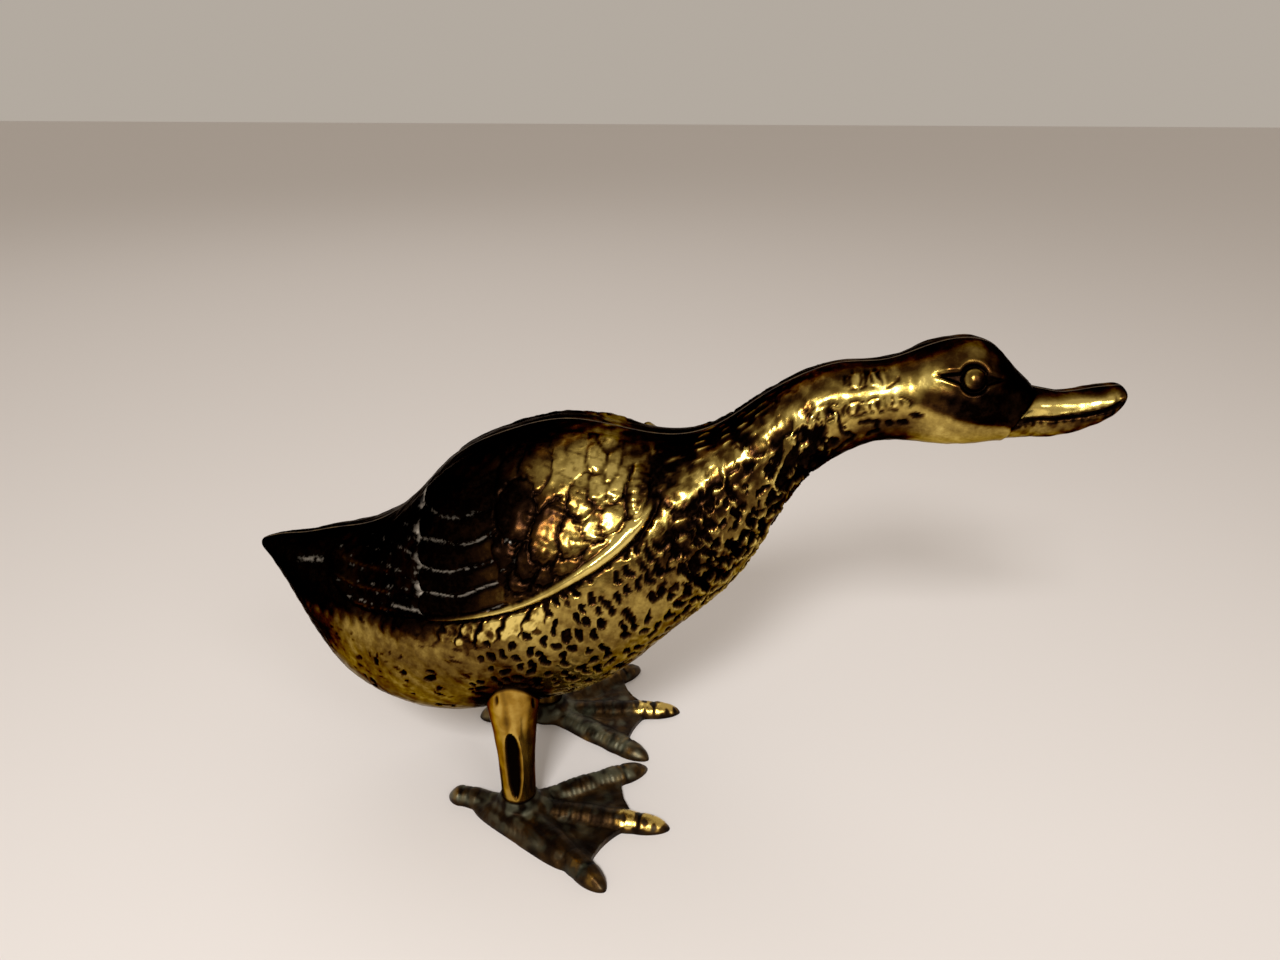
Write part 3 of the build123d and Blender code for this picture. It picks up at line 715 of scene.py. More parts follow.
def cut_face(skin):
    """Cut the eye, the cheek and jaw, the edge of the head and the mouth."""
    dx, dz = skin.x - along(eye_shares[0]), skin.z - up(eye_shares[1])
    reach = np.where(dx < 0, socket_rear_reach, socket_front_reach)
    corners = corner_rise * np.clip(1 - np.abs(dx / reach), -1, 1) - np.abs(dz + 0.04 * dx)
    almond = np.maximum(socket_rise - np.hypot(dx, dz), corners)
    on_side = skin.y > 2
    socket = step(-0.1, 0.6, almond) * on_side
    lid = bell(almond + 0.5, 0.32) * on_side * fade(5.0, 8.0, np.abs(dx))
    from_middle = np.hypot(dx, 1.1 * dz)
    ball = np.sqrt(np.clip(1 - (from_middle / eye_radius) ** 2, 0, 1)) * on_side
    toward_back = fade(-1.2, 1.4, dx - 0.8 * dz)
    mark(skin, lid, lift=0.17)
    mark(skin, socket, lift=-socket_depth)
    mark(skin, ball, lift=2.0)
    mark(skin, bell(from_middle - 1.25, 0.22) * on_side, lift=-0.07)
    mark(skin, fade(0.3, 0.9, from_middle) * on_side, lift=-0.06)
    mark(skin, socket * fade(0.1, 0.45, ball), dark=1.6)
    mark(skin, bell(from_middle - eye_radius - 0.1, 0.35) * on_side, dark=0.9)
    mark(skin, ball * fade(0.3, 0.9, from_middle), dark=0.12)
    mark(skin, ball * bell(from_middle - 1.25, 0.22), dark=0.16)
    # The ball's rear upper side gets a painted highlight and its front lower side painted shade; the upper
    # lid gets a faint painted highlight.
    mark(skin, step(0.3, 0.9, ball) * (1 - toward_back), dark=0.30)
    mark(skin, lid * (dz > 0), rub=0.12)
    mark(skin, step(0.3, 0.7, ball) * toward_back, rub=0.75)

    # The temple and brow: the head is widest behind the eye, and the temple and brow get a painted highlight
    wider = span(skin.length, 0.752, 0.808, 0.83, 0.87) * bell(skin.z - up(0.91), 8.0)
    swelling = bell(skin.x - along(0.790), 5.0) * bell(skin.z - up(0.965), 3.4) * step(3.0, 7.0, skin.y)
    patch_x, patch_z = skin.x - along(temple_shares[0]), skin.z - up(temple_shares[1])
    temple_highlight = bell(0.8 * patch_x + 0.6 * patch_z, 4.2) * bell(0.8 * patch_z - 0.6 * patch_x, 1.9) * on_side
    brow = bell(skin.x - along(0.828), 2.0) * bell(skin.z - up(0.985), 1.1) * on_side
    mark(skin, wider * step(1.0, 5.0, skin.y), lift=0.8)
    mark(skin, swelling * (1 - socket), lift=0.6)
    mark(skin, temple_highlight * (1 - socket), rub=1.1)
    mark(skin, brow, lift=0.35, rub=0.8)

    gap, _, side = near_curve(skin.x, skin.z, side_curve(jaw_shares))
    skin.below_jaw = -side * gap
    jaw_part = span(skin.length, 0.765, 0.80, 0.872, 0.885)
    mark(skin, jaw_part * fade(-0.6, 0.6, skin.below_jaw) * step(-7, -1, skin.below_jaw), lift=0.30)
    mark(skin, jaw_part * bell(skin.below_jaw + 0.2, 0.8), dark=0.40)

    gap, _, side = near_curve(skin.x, skin.z, side_curve(bill_base_shares))
    beyond = side * gap
    forward = step(0.85, 0.87, skin.length)
    skin.bill = step(-0.2, 0.4, beyond) * forward
    head_edge = fade(-0.35, 0.35, beyond) * step(-6, -0.6, beyond)
    mark(skin, head_edge * step(0.84, 0.88, skin.length), lift=0.42)
    # Painted shade along the step where the head's edge stands over the bill.
    mark(skin, bell(beyond - 0.3, 0.55) * forward * step(0.80, 0.83, skin.height), dark=0.8)

    gap, _, side = near_curve(skin.x, skin.z, side_curve(mouth_shares))
    on_side = skin.y > 0.8
    skin.above_mouth = side * gap
    mouth = bell(gap + 0.12 * skin.ragged, 0.50) * on_side
    over_band = skin.above_mouth - bill_band_height + 0.6 * step(0.95, 0.98, skin.length)
    narrowed = bill_band_width * (1 - 0.5 * step(0.90, 0.97, skin.length))
    # A painted highlight band along the upper bill; the bill above it is darkened as painted shade.
    skin.bill_band = bell(over_band, narrowed) * fade(0.975, 0.99, skin.length)
    hollow = fade(-1.0, 0.9, over_band) * step(-0.3, 0.4, skin.above_mouth)
    below = step(-0.5, 1.0, -skin.above_mouth)
    mark(skin, mouth * (0.5 + 0.12 * skin.tremor), lift=-1)
    mark(skin, mouth, dark=0.95)
    mark(skin, skin.bill * hollow * on_side, lift=-bill_hollow_depth)
    mark(skin, skin.bill * skin.bill_band, rub=0.8)
    mark(skin, skin.bill * below * (0.08 + 0.12 * step(-0.2, 0.8, skin.tremor)), dark=1)
    mark(skin, skin.bill * fade(0.8, 2.4, gap) * step(-0.2, 0.7, skin.ragged) * on_side, dark=0.45)


def shade_areas(skin):
    """How dark each point is, by area: old patina, darkest where no hand reaches, together with painted
    highlights and painted shade.
    """
    length, height, tremor = skin.length, skin.height, skin.tremor
    rear_wing = fade(0.30, 0.372, length + 0.14 * (0.56 - height) + 0.01 * tremor)
    rear_wing = rear_wing * step(0.31, 0.37, height + 0.05 * (0.25 - length) + 0.006 * tremor)
    back_edge = 0.735 + 0.55 * np.clip(length - 0.36, 0, 0.08)
    back = step(back_edge - 0.03, back_edge + 0.035, height + 0.008 * tremor)
    neck = span(length, 0.56, 0.64, 0.73, 0.77)
    head = step(0.74, 0.79, length) * (1 - skin.bill)
    face = head * step(0.818, 0.872, length + 0.10 * (0.93 - height) + 0.004 * tremor)
    above_jaw = step(-0.3, 1.4, -skin.below_jaw)
    cheek = head * above_jaw * fade(0.87, 0.935, height) * step(0.745, 0.80, length)
    leg_gap = np.hypot(skin.x - leg_x, skin.y + leg_y)
    areas = {
        "low_belly": fade(0.25, 0.40, height) * fade(0.36, 0.46, length),
        "rear_wing": rear_wing,
        "back": back * fade(0.56, 0.62, length) * (1 - rear_wing),
        "tail_end": fade(0.08, 0.14, length),
        # Painted highlight on the shoulder
        "shoulder": bell(length - 0.435, 0.05) * bell(height - 0.66, 0.10),
        # Painted highlight on the tiles
        "tiles": skin.tiles,
        # Painted highlight along the rim
        "rim": skin.rim,
        "rear_coverts": skin.covert * fade(0.41, 0.47, length) * fade(0.66, 0.72, height),
        "front_coverts": skin.covert * bell(length - 0.425, 0.05) * bell(height - 0.72, 0.05),
        "throat": bell(length - 0.565, 0.055) * bell(height - 0.58, 0.12),
        "nape": neck * step(2.15, 2.75, skin.turned + 0.1 * tremor),
        # Painted highlight along the neck's crest
        "crest": skin.crest,
        "under_neck": span(length, 0.61, 0.65, 0.75, 0.81) * fade(1.45, 1.8, skin.turned),
        "neck_top": bell(length - 0.762, 0.035) * step(0.915, 0.945, height),
        "head": head,
        "crown": head * step(0.945, 0.99, height),
        "head_top": head * step(2.0, 2.7, skin.turned),
        "face": face * above_jaw,
        "cheek": cheek * (1 - face) * (0.9 + 0.3 * tremor),
        # Painted highlight on the temple
        "temple_highlight": head * bell(length - 0.780, 0.020) * bell(height - 0.932, 0.024),
        "jaw": head * (1 - above_jaw),
        # Painted shade on the bill's top, and a painted highlight on its band
        "bill": skin.bill * (1 - skin.bill_band) * step(-0.5, 1.5, skin.above_mouth - 1.4),
        "bill_band": skin.bill * skin.bill_band,
        "round_leg": fade(6.0, 11.5, leg_gap) * fade(0.2, 0.4, height),
        "blotches": ripple(skin.points, 14.0, skin.seed + 15),
        "tremor": tremor,
    }
    return plain_tone + sum(area_tones[name] * area for name, area in areas.items())


def carve(points, turn, seed):
    """How far each point of the skin moves out, and how dark and dusty it is."""
    skin = survey(points, turn, seed)
    for cut in (raise_wing, cut_long_feathers, cut_coverts, cut_small_feathers, cut_neck, cut_face):
        cut(skin)
    skin.lift += (0.05 * skin.tremor + 0.06 * skin.drift * (1 - skin.bill)) * skin.midline

    # The saddle between back and neck is smooth, and the front of the back is dark
    before_neck = fade(0.53, 0.55, skin.length)
    saddle = step(0.480, 0.494, skin.length) * step(0.675, 0.725, skin.height)
    saddle_front = step(0.462, 0.482, skin.length) * step(0.705, 0.740, skin.height)
    front_of_back = step(0.448, 0.468, skin.length) * step(0.715, 0.755, skin.height + 0.008 * skin.tremor)
    skin.lift *= (1 - 0.8 * saddle * before_neck) * (1 - 0.8 * saddle_front * before_neck)
    skin.rub *= 1 - front_of_back * before_neck
    skin.dark += 0.45 * front_of_back * before_neck
    ends = step(0, 2.5, skin.x - tail_x) * step(0, 2.5, bill_tip_x - skin.x)
    skin.lift *= step(0.0, 1.0, skin.y - seam_half + 0.25) * ends
    tone = shade_areas(skin)
    cuts = np.clip(skin.dark, 0, 1.2)
    # This value holds the old patina and the cut marks together with painted highlights and painted shade
    # from the areas, the cuts and the rubbing.
    patina = np.clip(tone + cuts * (1 - 0.3 * tone) - 0.34 * np.clip(skin.rub, 0, 1), 0, 1)
    return skin.lift, patina, np.clip(skin.dust, 0, 1)


# Where the right leg stands: the belly is dark round it
leg_x = -33.5
leg_y = -19.9

# How far apart the points of the skin are: in the first grid, and where the carving is fine
base_spacing = 1.25
fine_spacing = 0.40
line_spacing = 0.30
eye_spacing = 0.22
split_over = 1.45
split_rounds = 3
girth_rows = 78
almost_nothing = 1e-6


def wanted_spacing(points):
    """How far apart the points of the skin may be: finest where the carving is finest."""
    x, y, z = points[:, 0], -points[:, 1], points[:, 2]
    length = (x - tail_x) / overall_length
    height = (z - belly_height) / body_height
    spacing = np.full(len(x), fine_spacing)
    spacing += 0.6 * step(0.74, 0.80, height) * fade(0.50, 0.56, length) * (y < 12)
    spacing += 0.25 * fade(0.09, 0.11, length)
    spacing += 0.45 * span(length, 0.765, 0.78, 0.87, 0.88)
    spacing += 0.2 * fade(0.16, 0.22, height) * fade(0.3, 0.4, length)
    near_eye = np.hypot(x - along(eye_shares[0]), z - up(eye_shares[1])) < 6.5
    near_mouth = near_curve(x, z, side_curve(mouth_shares))[0] < 1.6
    near_head_edge = near_curve(x, z, side_curve(bill_base_shares))[0] < 1.0
    spacing = np.where(near_eye & (y > 3), eye_spacing, spacing)
    spacing = np.where(near_mouth & (y > 2), line_spacing, spacing)
    return np.where(near_head_edge & (length > 0.85), line_spacing, spacing)


# Columns are spaced evenly along the steepest line of the skin
fine_x = np.linspace(tail_x, bill_tip_x, 20001)
steepest = np.max([np.abs(np.diff(line)) for line in section_at(fine_x)[:3]], axis=0)
travel = np.concatenate([[0], np.cumsum(np.hypot(np.diff(fine_x), 0.8 * steepest))])
columns = int(travel[-1] / base_spacing)


def placed(bm):
    """Place of each vertex on the skin: how far along, how far round, and its point."""
    flat = np.array([vertex.co[:2] for vertex in bm.verts])
    x = np.interp((flat[:, 0] + 0.5) * travel[-1], travel, fine_x)
    turn = (flat[:, 1] + 0.5) * (girth_rows + 1) / girth_rows
    points = skin_point(x, np.clip(turn, 0, 1))
    closing = np.clip((turn - 1) * girth_rows, 0, 1)[:, None]
    points = points + closing * (skin_point(x, 0 * turn) - points)
    return x, turn, points


def make_half(name, seed, mirrored):
    """One half of the casting: a fine closed skin with all its carving."""
    bm = bmesh.new()
    bmesh.ops.create_grid(bm, x_segments=columns, y_segments=girth_rows + 1, size=0.5)
    for _ in range(split_rounds):
        x, turn, points = placed(bm)
        bm.verts.index_update()
        edges = list(bm.edges)
        ends = np.array([[vertex.index for vertex in edge.verts] for edge in edges])
        first, second = points[ends[:, 0]], points[ends[:, 1]]
        length = np.linalg.norm(first - second, axis=1)
        past_joint = np.max(turn[ends], axis=1) > 1 + almost_nothing
        across_joint = past_joint & (np.ptp(turn[ends], axis=1) > almost_nothing)
        wanted = wanted_spacing((first + second) / 2)
        split = (length > split_over * wanted) & ~across_joint
        chosen = [edge for edge, long in zip(edges, split) if long]
        bmesh.ops.subdivide_edges(bm, edges=chosen, cuts=1, use_grid_fill=True)
    x, turn, points = placed(bm)
    normals = skin_normal(x, turn)
    lift, patina, dust = carve(points, np.clip(turn, 0, 1), seed)
    on_joint = turn > 1 - almost_nothing
    points = points + normals * np.where(on_joint, 0, lift)[:, None]
    points[:, 1] = np.minimum(points[:, 1], -seam_half)
    set_vertices(bm, points, patina=patina, dust=dust)
    if mirrored:
        mirror_over(bm)
    bmesh.ops.remove_doubles(bm, verts=bm.verts, dist=0.01 * mm)
    bmesh.ops.dissolve_degenerate(bm, dist=0.001 * mm, edges=bm.edges)
    return finished(bm, name)


def set_vertices(bm, points, **layers):
    """Move the vertices to places in millimetres, and note values on them."""
    for vertex, point in zip(bm.verts, points * mm):
        vertex.co = point
    for layer_name, values in layers.items():
        layer = bm.verts.layers.float.new(layer_name)
        for vertex, value in zip(bm.verts, values):
            vertex[layer] = value


def mirror_over(bm):
    """Turn the right side's piece into the left side's."""
    bmesh.ops.scale(bm, vec=(1, -1, 1), verts=bm.verts)
    bmesh.ops.recalc_face_normals(bm, faces=bm.faces)


def finished(bm, name):
    """A smooth-shaded object from a finished bmesh, with its faces pointing outwards."""
    bmesh.ops.recalc_face_normals(bm, faces=bm.faces)
    mesh = bpy.data.meshes.new(name)
    bm.to_mesh(mesh)
    bm.free()
    mesh.shade_smooth()
    piece = bpy.data.objects.new(name, mesh)
    bpy.context.scene.collection.objects.link(piece)
    return piece


def colour(code):
    """The linear colour of an sRGB hex code."""
    parts = [int(code[i:i + 2], 16) / 255 for i in (1, 3, 5)]
    linear = [part / 12.92 if part <= 0.04045 else ((part + 0.055) / 1.055) ** 2.4 for part in parts]
    return (*linear, 1)


def set_inputs(material, node, values):
    """Link or set a node's inputs, by name or number."""
    for key, value in values.items():
        if isinstance(value, bpy.types.NodeSocket):
            material.node_tree.links.new(value, node.inputs[key])
        else:
            node.inputs[key].default_value = value


def add_node(material, kind, values=None, **settings):
    """A node with its settings, and its inputs linked or set."""
    node = material.node_tree.nodes.new("ShaderNode" + kind)
    for key, value in settings.items():
        setattr(node, key, value)
    set_inputs(material, node, values or {})
    return node


def fill_ramp(node, stops):
    """Set the stops of a colour ramp, and return what it gives."""
    while len(node.color_ramp.elements) < len(stops):
        node.color_ramp.elements.new(0.5)
    for element, (place, code) in zip(node.color_ramp.elements, stops):
        element.position = place
        element.color = colour(code) if isinstance(code, str) else (code, code, code, 1)
    return node.outputs["Color"]


def new_material(name):
    """An empty node material and its shader."""
    material = bpy.data.materials.new(name)
    material.use_nodes = True
    return material, material.node_tree.nodes["Principled BSDF"]


# Cast brass, darkened in the recesses and rubbed: satin with a warm gold where it is bare,
# and a glossy red-black skin of old patina where no hand reaches
# The patina attribute also carries painted highlights and painted shade, so part of this colour is painted
# light.
aged_brass, shader = new_material("aged_cast_brass")
where = add_node(aged_brass, "TexCoord").outputs["Object"]
patina = add_node(aged_brass, "Attribute", attribute_name="patina").outputs["Fac"]
dust = add_node(aged_brass, "Attribute", attribute_name="dust").outputs["Fac"]
blotches, specks, grain, dents = (
    add_node(
        aged_brass,
        "TexNoise",
        {"Vector": where, "Scale": 1 / (size * mm), "Detail": detail, "Roughness": roughness},
    ).outputs["Fac"]
    for size, detail, roughness in ((4.5, 5.0, 0.62), (0.9, 3.0, 0.6), (0.45, 4.0, 0.7), (2.2, 2.0, 0.5))
)
mottled = add_node(aged_brass, "Math", {0: blotches, 1: 0.34, 2: patina}, operation="MULTIPLY_ADD")
darkness = add_node(aged_brass, "Math", {0: specks, 1: 0.30, 2: mottled.outputs[0]}, operation="MULTIPLY_ADD")
age_and_painted_light = add_node(
    aged_brass, "Math", {0: darkness.outputs[0], 1: 0.32}, operation="SUBTRACT", use_clamp=True
).outputs[0]
brass_tones = [
    (0.0, "#e6cc74"), (0.2, "#b0964c"), (0.4, "#775e2a"),
    (0.6, "#442b10"), (0.8, "#211208"), (1.0, "#050201"),
]
brass_gloss = [(0.0, 0.19), (0.35, 0.22), (0.7, 0.27), (1.0, 0.31)]
tone = fill_ramp(add_node(aged_brass, "ValToRGB", {"Fac": age_and_painted_light}), brass_tones)
gloss = fill_ramp(add_node(aged_brass, "ValToRGB", {"Fac": age_and_painted_light}), brass_gloss)
glancing = fill_ramp(add_node(aged_brass, "ValToRGB", {"Fac": age_and_painted_light}), [(0.3, "#c8bca0"), (0.75, "#6a543c")])
ragged_dust = add_node(aged_brass, "Math", {0: specks, 1: 1.6, 2: -1.0}, operation="MULTIPLY_ADD")
dust_part = add_node(
    aged_brass, "Math", {0: dust, 1: 1.5, 2: ragged_dust.outputs[0]}, operation="MULTIPLY_ADD", use_clamp=True
)
dust_share = add_node(aged_brass, "Math", {0: dust_part.outputs[0], 1: dust}, operation="MINIMUM").outputs[0]
dusty = add_node(
    aged_brass, "Mix", {"Factor": dust_share, "A": tone, "B": colour("#a0978a")}, data_type="RGBA"
)
bare = add_node(aged_brass, "Math", {0: 1.0, 1: dust_share}, operation="SUBTRACT", use_clamp=True)
soft_bump = add_node(aged_brass, "Bump", {"Height": dents, "Distance": 0.25 * mm, "Strength": 0.25})
fine_bump = add_node(
    aged_brass,
    "Bump",
    {"Height": grain, "Distance": 0.07 * mm, "Strength": 0.25, "Normal": soft_bump.outputs[0]},
)
set_inputs(aged_brass, shader, {
    "Base Color": dusty.outputs["Result"],
    "Roughness": gloss,
    "Metallic": bare.outputs[0],
    "Normal": fine_bump.outputs[0],
    "Specular Tint": glancing,
})

for side, seed, mirrored in (("right", 11, False), ("left", 47, True)):
    half = make_half("carved_half_" + side, seed, mirrored)
    half.data.materials.append(aged_brass)
    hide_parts("body_half_" + side)
    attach(half, "root")

# Joint.
# The two halves are brazed together along the middle, and the joint is filed flush. What shows
# is a hair line of paler brass over the back, round the tail and along the belly.
wall = 3.0
cavity_start_share = 0.09
cavity_end_share = 0.835
joint_points = 260


def joint_loop(start_x, end_x, inset):
    """A closed outline of the middle section, inside the skin by the inset."""
    angle = np.linspace(0, math.pi, joint_points)
    places = start_x + (end_x - start_x) * (1 - np.cos(angle)) / 2
    top, bottom = section_at(places)[:2]
    middle = (top + bottom) / 2
    upper = np.maximum(top - inset, middle)
    lower = np.minimum(bottom + inset, middle)
    there = [(x, -seam_half, z) for x, z in zip(places, upper)]
    back = [(x, -seam_half, z) for x, z in zip(places[::-1], lower[::-1])]
    return there[:-1] + back[:-1]


bm = bmesh.new()
for loop in (
    joint_loop(tail_x, bill_tip_x, 0),
    joint_loop(along(cavity_start_share), along(cavity_end_share), wall),
):
    corners = [bm.verts.new(Vector(corner) * mm) for corner in loop]
    for corner, following in zip(corners, corners[1:] + corners[:1]):
        bm.edges.new((corner, following))
bmesh.ops.remove_doubles(bm, verts=bm.verts, dist=0.005 * mm)
bmesh.ops.triangle_fill(bm, edges=bm.edges, use_beauty=True)
pulled = bmesh.ops.extrude_face_region(bm, geom=bm.faces[:])["geom"]
pulled = [item for item in pulled if isinstance(item, bmesh.types.BMVert)]
bmesh.ops.translate(bm, vec=(0, 2 * seam_half * mm, 0), verts=pulled)
braze_line = finished(bm, "braze_line")
braze_line.data.set_sharp_from_angle(angle=math.radians(40))

# Brazing brass: paler and yellower than the casting, filed and tarnished to a dull line
braze, shader = new_material("filed_braze")
where = add_node(braze, "TexCoord").outputs["Object"]
spots = add_node(braze, "TexNoise", {"Vector": where, "Scale": 1 / (2.5 * mm), "Detail": 4.0})
braze_tones = [(0.35, "#2c170b"), (0.65, "#7c6030")]
tone = fill_ramp(add_node(braze, "ValToRGB", {"Fac": spots.outputs["Fac"]}), braze_tones)
set_inputs(braze, shader, {"Base Color": tone, "Metallic": 1.0, "Roughness": 0.42})
braze_line.data.materials.append(braze)
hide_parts("seam_braze")
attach(braze_line, "root")


# Legs.
# Each leg is a solid cast peg, flared where it meets the belly and dressed and polished
# bright. A long hollow is cut in its outer side, and small nicks mark the feathers above it.
# Its colour also holds painted shade down its back, right side and left edge, painted vertical reflections,
# and a painted highlight on the hollow's right lip.
ankle_height = 5.6
leg_top_width = 12.6
leg_middle_width = 9.4
leg_ankle_width = 8.4
leg_groove_width = 3.7
leg_groove_length = 21.0
leg_groove_depth = 1.3
leg_groove_height = 17.2
leg_rings = 70
leg_sides = 96
leg_seating = 0.12
nick_pitch = 3.1
nick_length = 2.6
nick_width = 0.42
nick_depth = 0.35
nick_below_belly = 2.4
groove_lip = 0.15


def belly_under(x, y):
    """Height of the plain belly skin over a place on the floor."""
    _, bottom, wide, widest = section_at(x)
    return widest - (widest - bottom) * np.sqrt(1 - np.clip(np.abs(y) / wide, 0, 1) ** 2)


def spun(profile, sides):
    """A bmesh turned from a profile of (radius, height) points round the upright axis."""
    bm = bmesh.new()
    points = [bm.verts.new((radius * mm, 0, height * mm)) for radius, height in profile]
    edges = [bm.edges.new(pair) for pair in zip(points, points[1:])]
    whole_turn = dict(axis=(0, 0, 1), cent=(0, 0, 0), angle=2 * math.pi, steps=sides, use_merge=True)
    bmesh.ops.spin(bm, geom=points + edges, **whole_turn)
    bmesh.ops.remove_doubles(bm, verts=bm.verts, dist=0.002 * mm)
    bmesh.ops.recalc_face_normals(bm, faces=bm.faces)
    return bm


def coordinates(bm):
    """The vertices' places in millimetres."""
    return np.array([vertex.co for vertex in bm.verts]) / mm


leg_top = float(belly_under(np.array([leg_x]), np.array([leg_y]))[0])
leg_radius = smooth_curve(
    [ankle_height, (ankle_height + leg_top) / 2, leg_top],
    [leg_ankle_width / 2, leg_middle_width / 2, leg_top_width / 2],
)


def make_leg(name, mirrored, seed):
    """One leg, cut at its top to the round of the belly."""
    heights = np.linspace(0, 1, leg_rings + 1)
    profile = [(0, 0), (0.5, 0)] + [(1, height) for height in heights] + [(0.5, 1), (0, 1)]
    bm = spun(profile, leg_sides)
    share = coordinates(bm)
    radius = np.hypot(share[:, 0], share[:, 1])
    angle = np.arctan2(share[:, 1], share[:, 0])
    z = ankle_height + share[:, 2] * (leg_top - ankle_height)
    for _ in range(3):
        wide = leg_radius(z) * radius
        x, y = leg_x + wide * np.cos(angle), leg_y + wide * np.sin(angle)
        z = ankle_height + share[:, 2] * (belly_under(x, y) + leg_seating - ankle_height)
    points = np.stack([x, y, z], axis=-1)
    on_wall = radius > 0.9
    outer_side = step(0.1, 0.6, -np.sin(angle)) * on_wall
    height = (z - leg_groove_height) / (leg_groove_length / 2)
    oval = leg_groove_width / 2 * np.sqrt(np.clip(1 - np.abs(height) ** 2.8, 0, 1)) * (1 + 0.10 * height)
    from_groove = oval - np.abs(x - leg_x - 0.2) - 3 * np.maximum(np.abs(height) - 1, 0)
    hollow = step(-0.2, 0.75, from_groove) * outer_side
    # The lip of the hollow stands out more on its right side, where it gets a painted highlight.
    front_edge = 0.35 + 0.65 * step(-0.5, 0.5, x - leg_x)
    lip = bell(from_groove + 0.35, 0.35) * outer_side * step(-0.75, -0.45, height) * front_edge
    nick_at = angle * leg_top_width / 2 / nick_pitch
    aside = (nick_at - np.round(nick_at)) * nick_pitch
    draws = np.random.default_rng(seed).uniform(-1, 1, 40)[np.round(nick_at).astype(int) % 40]
    from_top = belly_under(x, y) - z - nick_below_belly - 0.9 * draws
    nick = bell(aside, nick_width) * np.exp(-((from_top / (nick_length / 2)) ** 4)) * on_wall
    nick = nick * (1 - hollow) * step(-0.5, 0.2, draws)
    uneven = 0.05 * ripple(points, 7.0, seed + 1) * on_wall
    inward = leg_groove_depth * hollow + nick_depth * nick - groove_lip * lip - uneven
    points[:, 0] -= inward * np.cos(angle)
    points[:, 1] -= inward * np.sin(angle)
    joint_dark = fade(0.2, 1.4, belly_under(x, y) - z)
    foot_dark = fade(0.1, 0.9, z - ankle_height)
    # Painted shade on the leg's back, right side and left edge, and painted vertical reflections in the
    # streaks.
    painted_shade_back_and_right = 0.35 * step(-0.2, 0.9, np.sin(angle)) + 0.26 * step(0.60, 0.95, np.cos(angle))
    painted_shade_left_edge = 0.22 * step(0.75, 0.98, -np.cos(angle))
    painted_reflection_streaks = ripple(points * (1.0, 1.0, 0.10), 2.4, seed + 2)
    wear_and_painted_light = 0.13 + 0.14 * painted_reflection_streaks + painted_shade_left_edge - 0.25 * lip
    cuts = 0.95 * hollow + 0.8 * nick + 0.8 * joint_dark + 0.7 * foot_dark
    patina = np.clip(wear_and_painted_light + cuts + painted_shade_back_and_right, 0, 1)
    set_vertices(bm, points, patina=patina)
    if mirrored:
        mirror_over(bm)
    return finished(bm, name)


# The same brass, dressed with a file and buffed: brighter, smoother, with upright scratches
leg_brass, shader = new_material("polished_cast_brass")
where = add_node(leg_brass, "TexCoord").outputs["Object"]
patina = add_node(leg_brass, "Attribute", attribute_name="patina").outputs["Fac"]
clouds = add_node(leg_brass, "TexNoise", {"Vector": where, "Scale": 1 / (3.5 * mm), "Detail": 5.0})
clouds = clouds.outputs["Fac"]
darkness = add_node(leg_brass, "Math", {0: clouds, 1: 0.6, 2: patina}, operation="MULTIPLY_ADD").outputs[0]
age_and_painted_light = add_node(leg_brass, "Math", {0: darkness, 1: 0.2}, operation="SUBTRACT", use_clamp=True).outputs[0]
leg_tones = [(0.0, "#d8b45a"), (0.25, "#a07a2c"), (0.5, "#5c3f16"), (0.8, "#211307"), (1.0, "#0a0502")]
tone = fill_ramp(add_node(leg_brass, "ValToRGB", {"Fac": age_and_painted_light}), leg_tones)
gloss = fill_ramp(add_node(leg_brass, "ValToRGB", {"Fac": age_and_painted_light}), [(0.0, 0.15), (0.5, 0.26), (1.0, 0.5)])
stretched = add_node(leg_brass, "Mapping", {"Vector": where, "Scale": (1.0, 1.0, 0.12)}).outputs[0]
scratches = add_node(leg_brass, "TexNoise", {"Vector": stretched, "Scale": 1 / (0.35 * mm), "Detail": 2.0})
bump = add_node(
    leg_brass, "Bump", {"Height": scratches.outputs["Fac"], "Distance": 0.05 * mm, "Strength": 0.12}
)
set_inputs(leg_brass, shader, {
    "Base Color": tone,
    "Roughness": gloss,
    "Normal": bump.outputs[0],
    "Metallic": 1.0,
    "Specular Tint": colour("#8a7250"),
})

for side, mirrored, seed in (("right", False, 5), ("left", True, 8)):
    leg = make_leg("polished_leg_" + side, mirrored, seed)
    leg.data.set_sharp_from_angle(angle=math.radians(60))
    leg.data.materials.append(leg_brass)
    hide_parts("leg_" + side)
    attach(leg, "root")


# Feet.
# Each webbed foot is one flat casting: four ringed toes with blunt nails, a hollow-edged web
# between the front three, and a low hub that the leg stands on. It is left darker and greener.
ankle_boss_width = 9.6
ankle_boss_foot_width = 12.0
toe_width = 7.2
web_thickness = 1.8
web_hollow = 0.45
web_end_share = 0.80
outer_web_reach = 24.8
inner_web_reach = 26.2
heel_edge_width = 6.6
heel_edge_height = 2.6
heel_edge_ends = ((12.0, 174.5), (25.0, -46.6))
toe_spacing = 0.5
middle_toe = (38.3, -5.1)
outer_toe = (34.6, -44.6)
inner_toe = (35.8, 30.8)
hind_toe = (19.5, 169.0)
toe_shares = [
    (0.06, 1.02), (0.30, 0.90), (0.50, 0.96), (0.63, 0.90), (0.72, 0.95), (0.77, 0.89), (0.80, 0.90),
]
hind_toe_shares = [(0.10, 1.00), (0.42, 0.84), (0.62, 0.90), (0.74, 0.84), (0.80, 0.88)]
ring_pitch = 2.7
ring_height = 0.22
toe_start_share = 0.04
nail_start_share = 0.80
foot_grain = 0.34
hub_smoothing = 30
foot_tone = 0.62
rubbed_shares = (0.735, 0.90)
rubbed_width = 2.9
web_spokes = 46
toe_sides = 28
hub_sides = 40
hole_sides = 48
screw_hole_width = 7.5
screw_recess = 0.3
screw_hole_depth = 2.0
screw_shank_width = 4.1

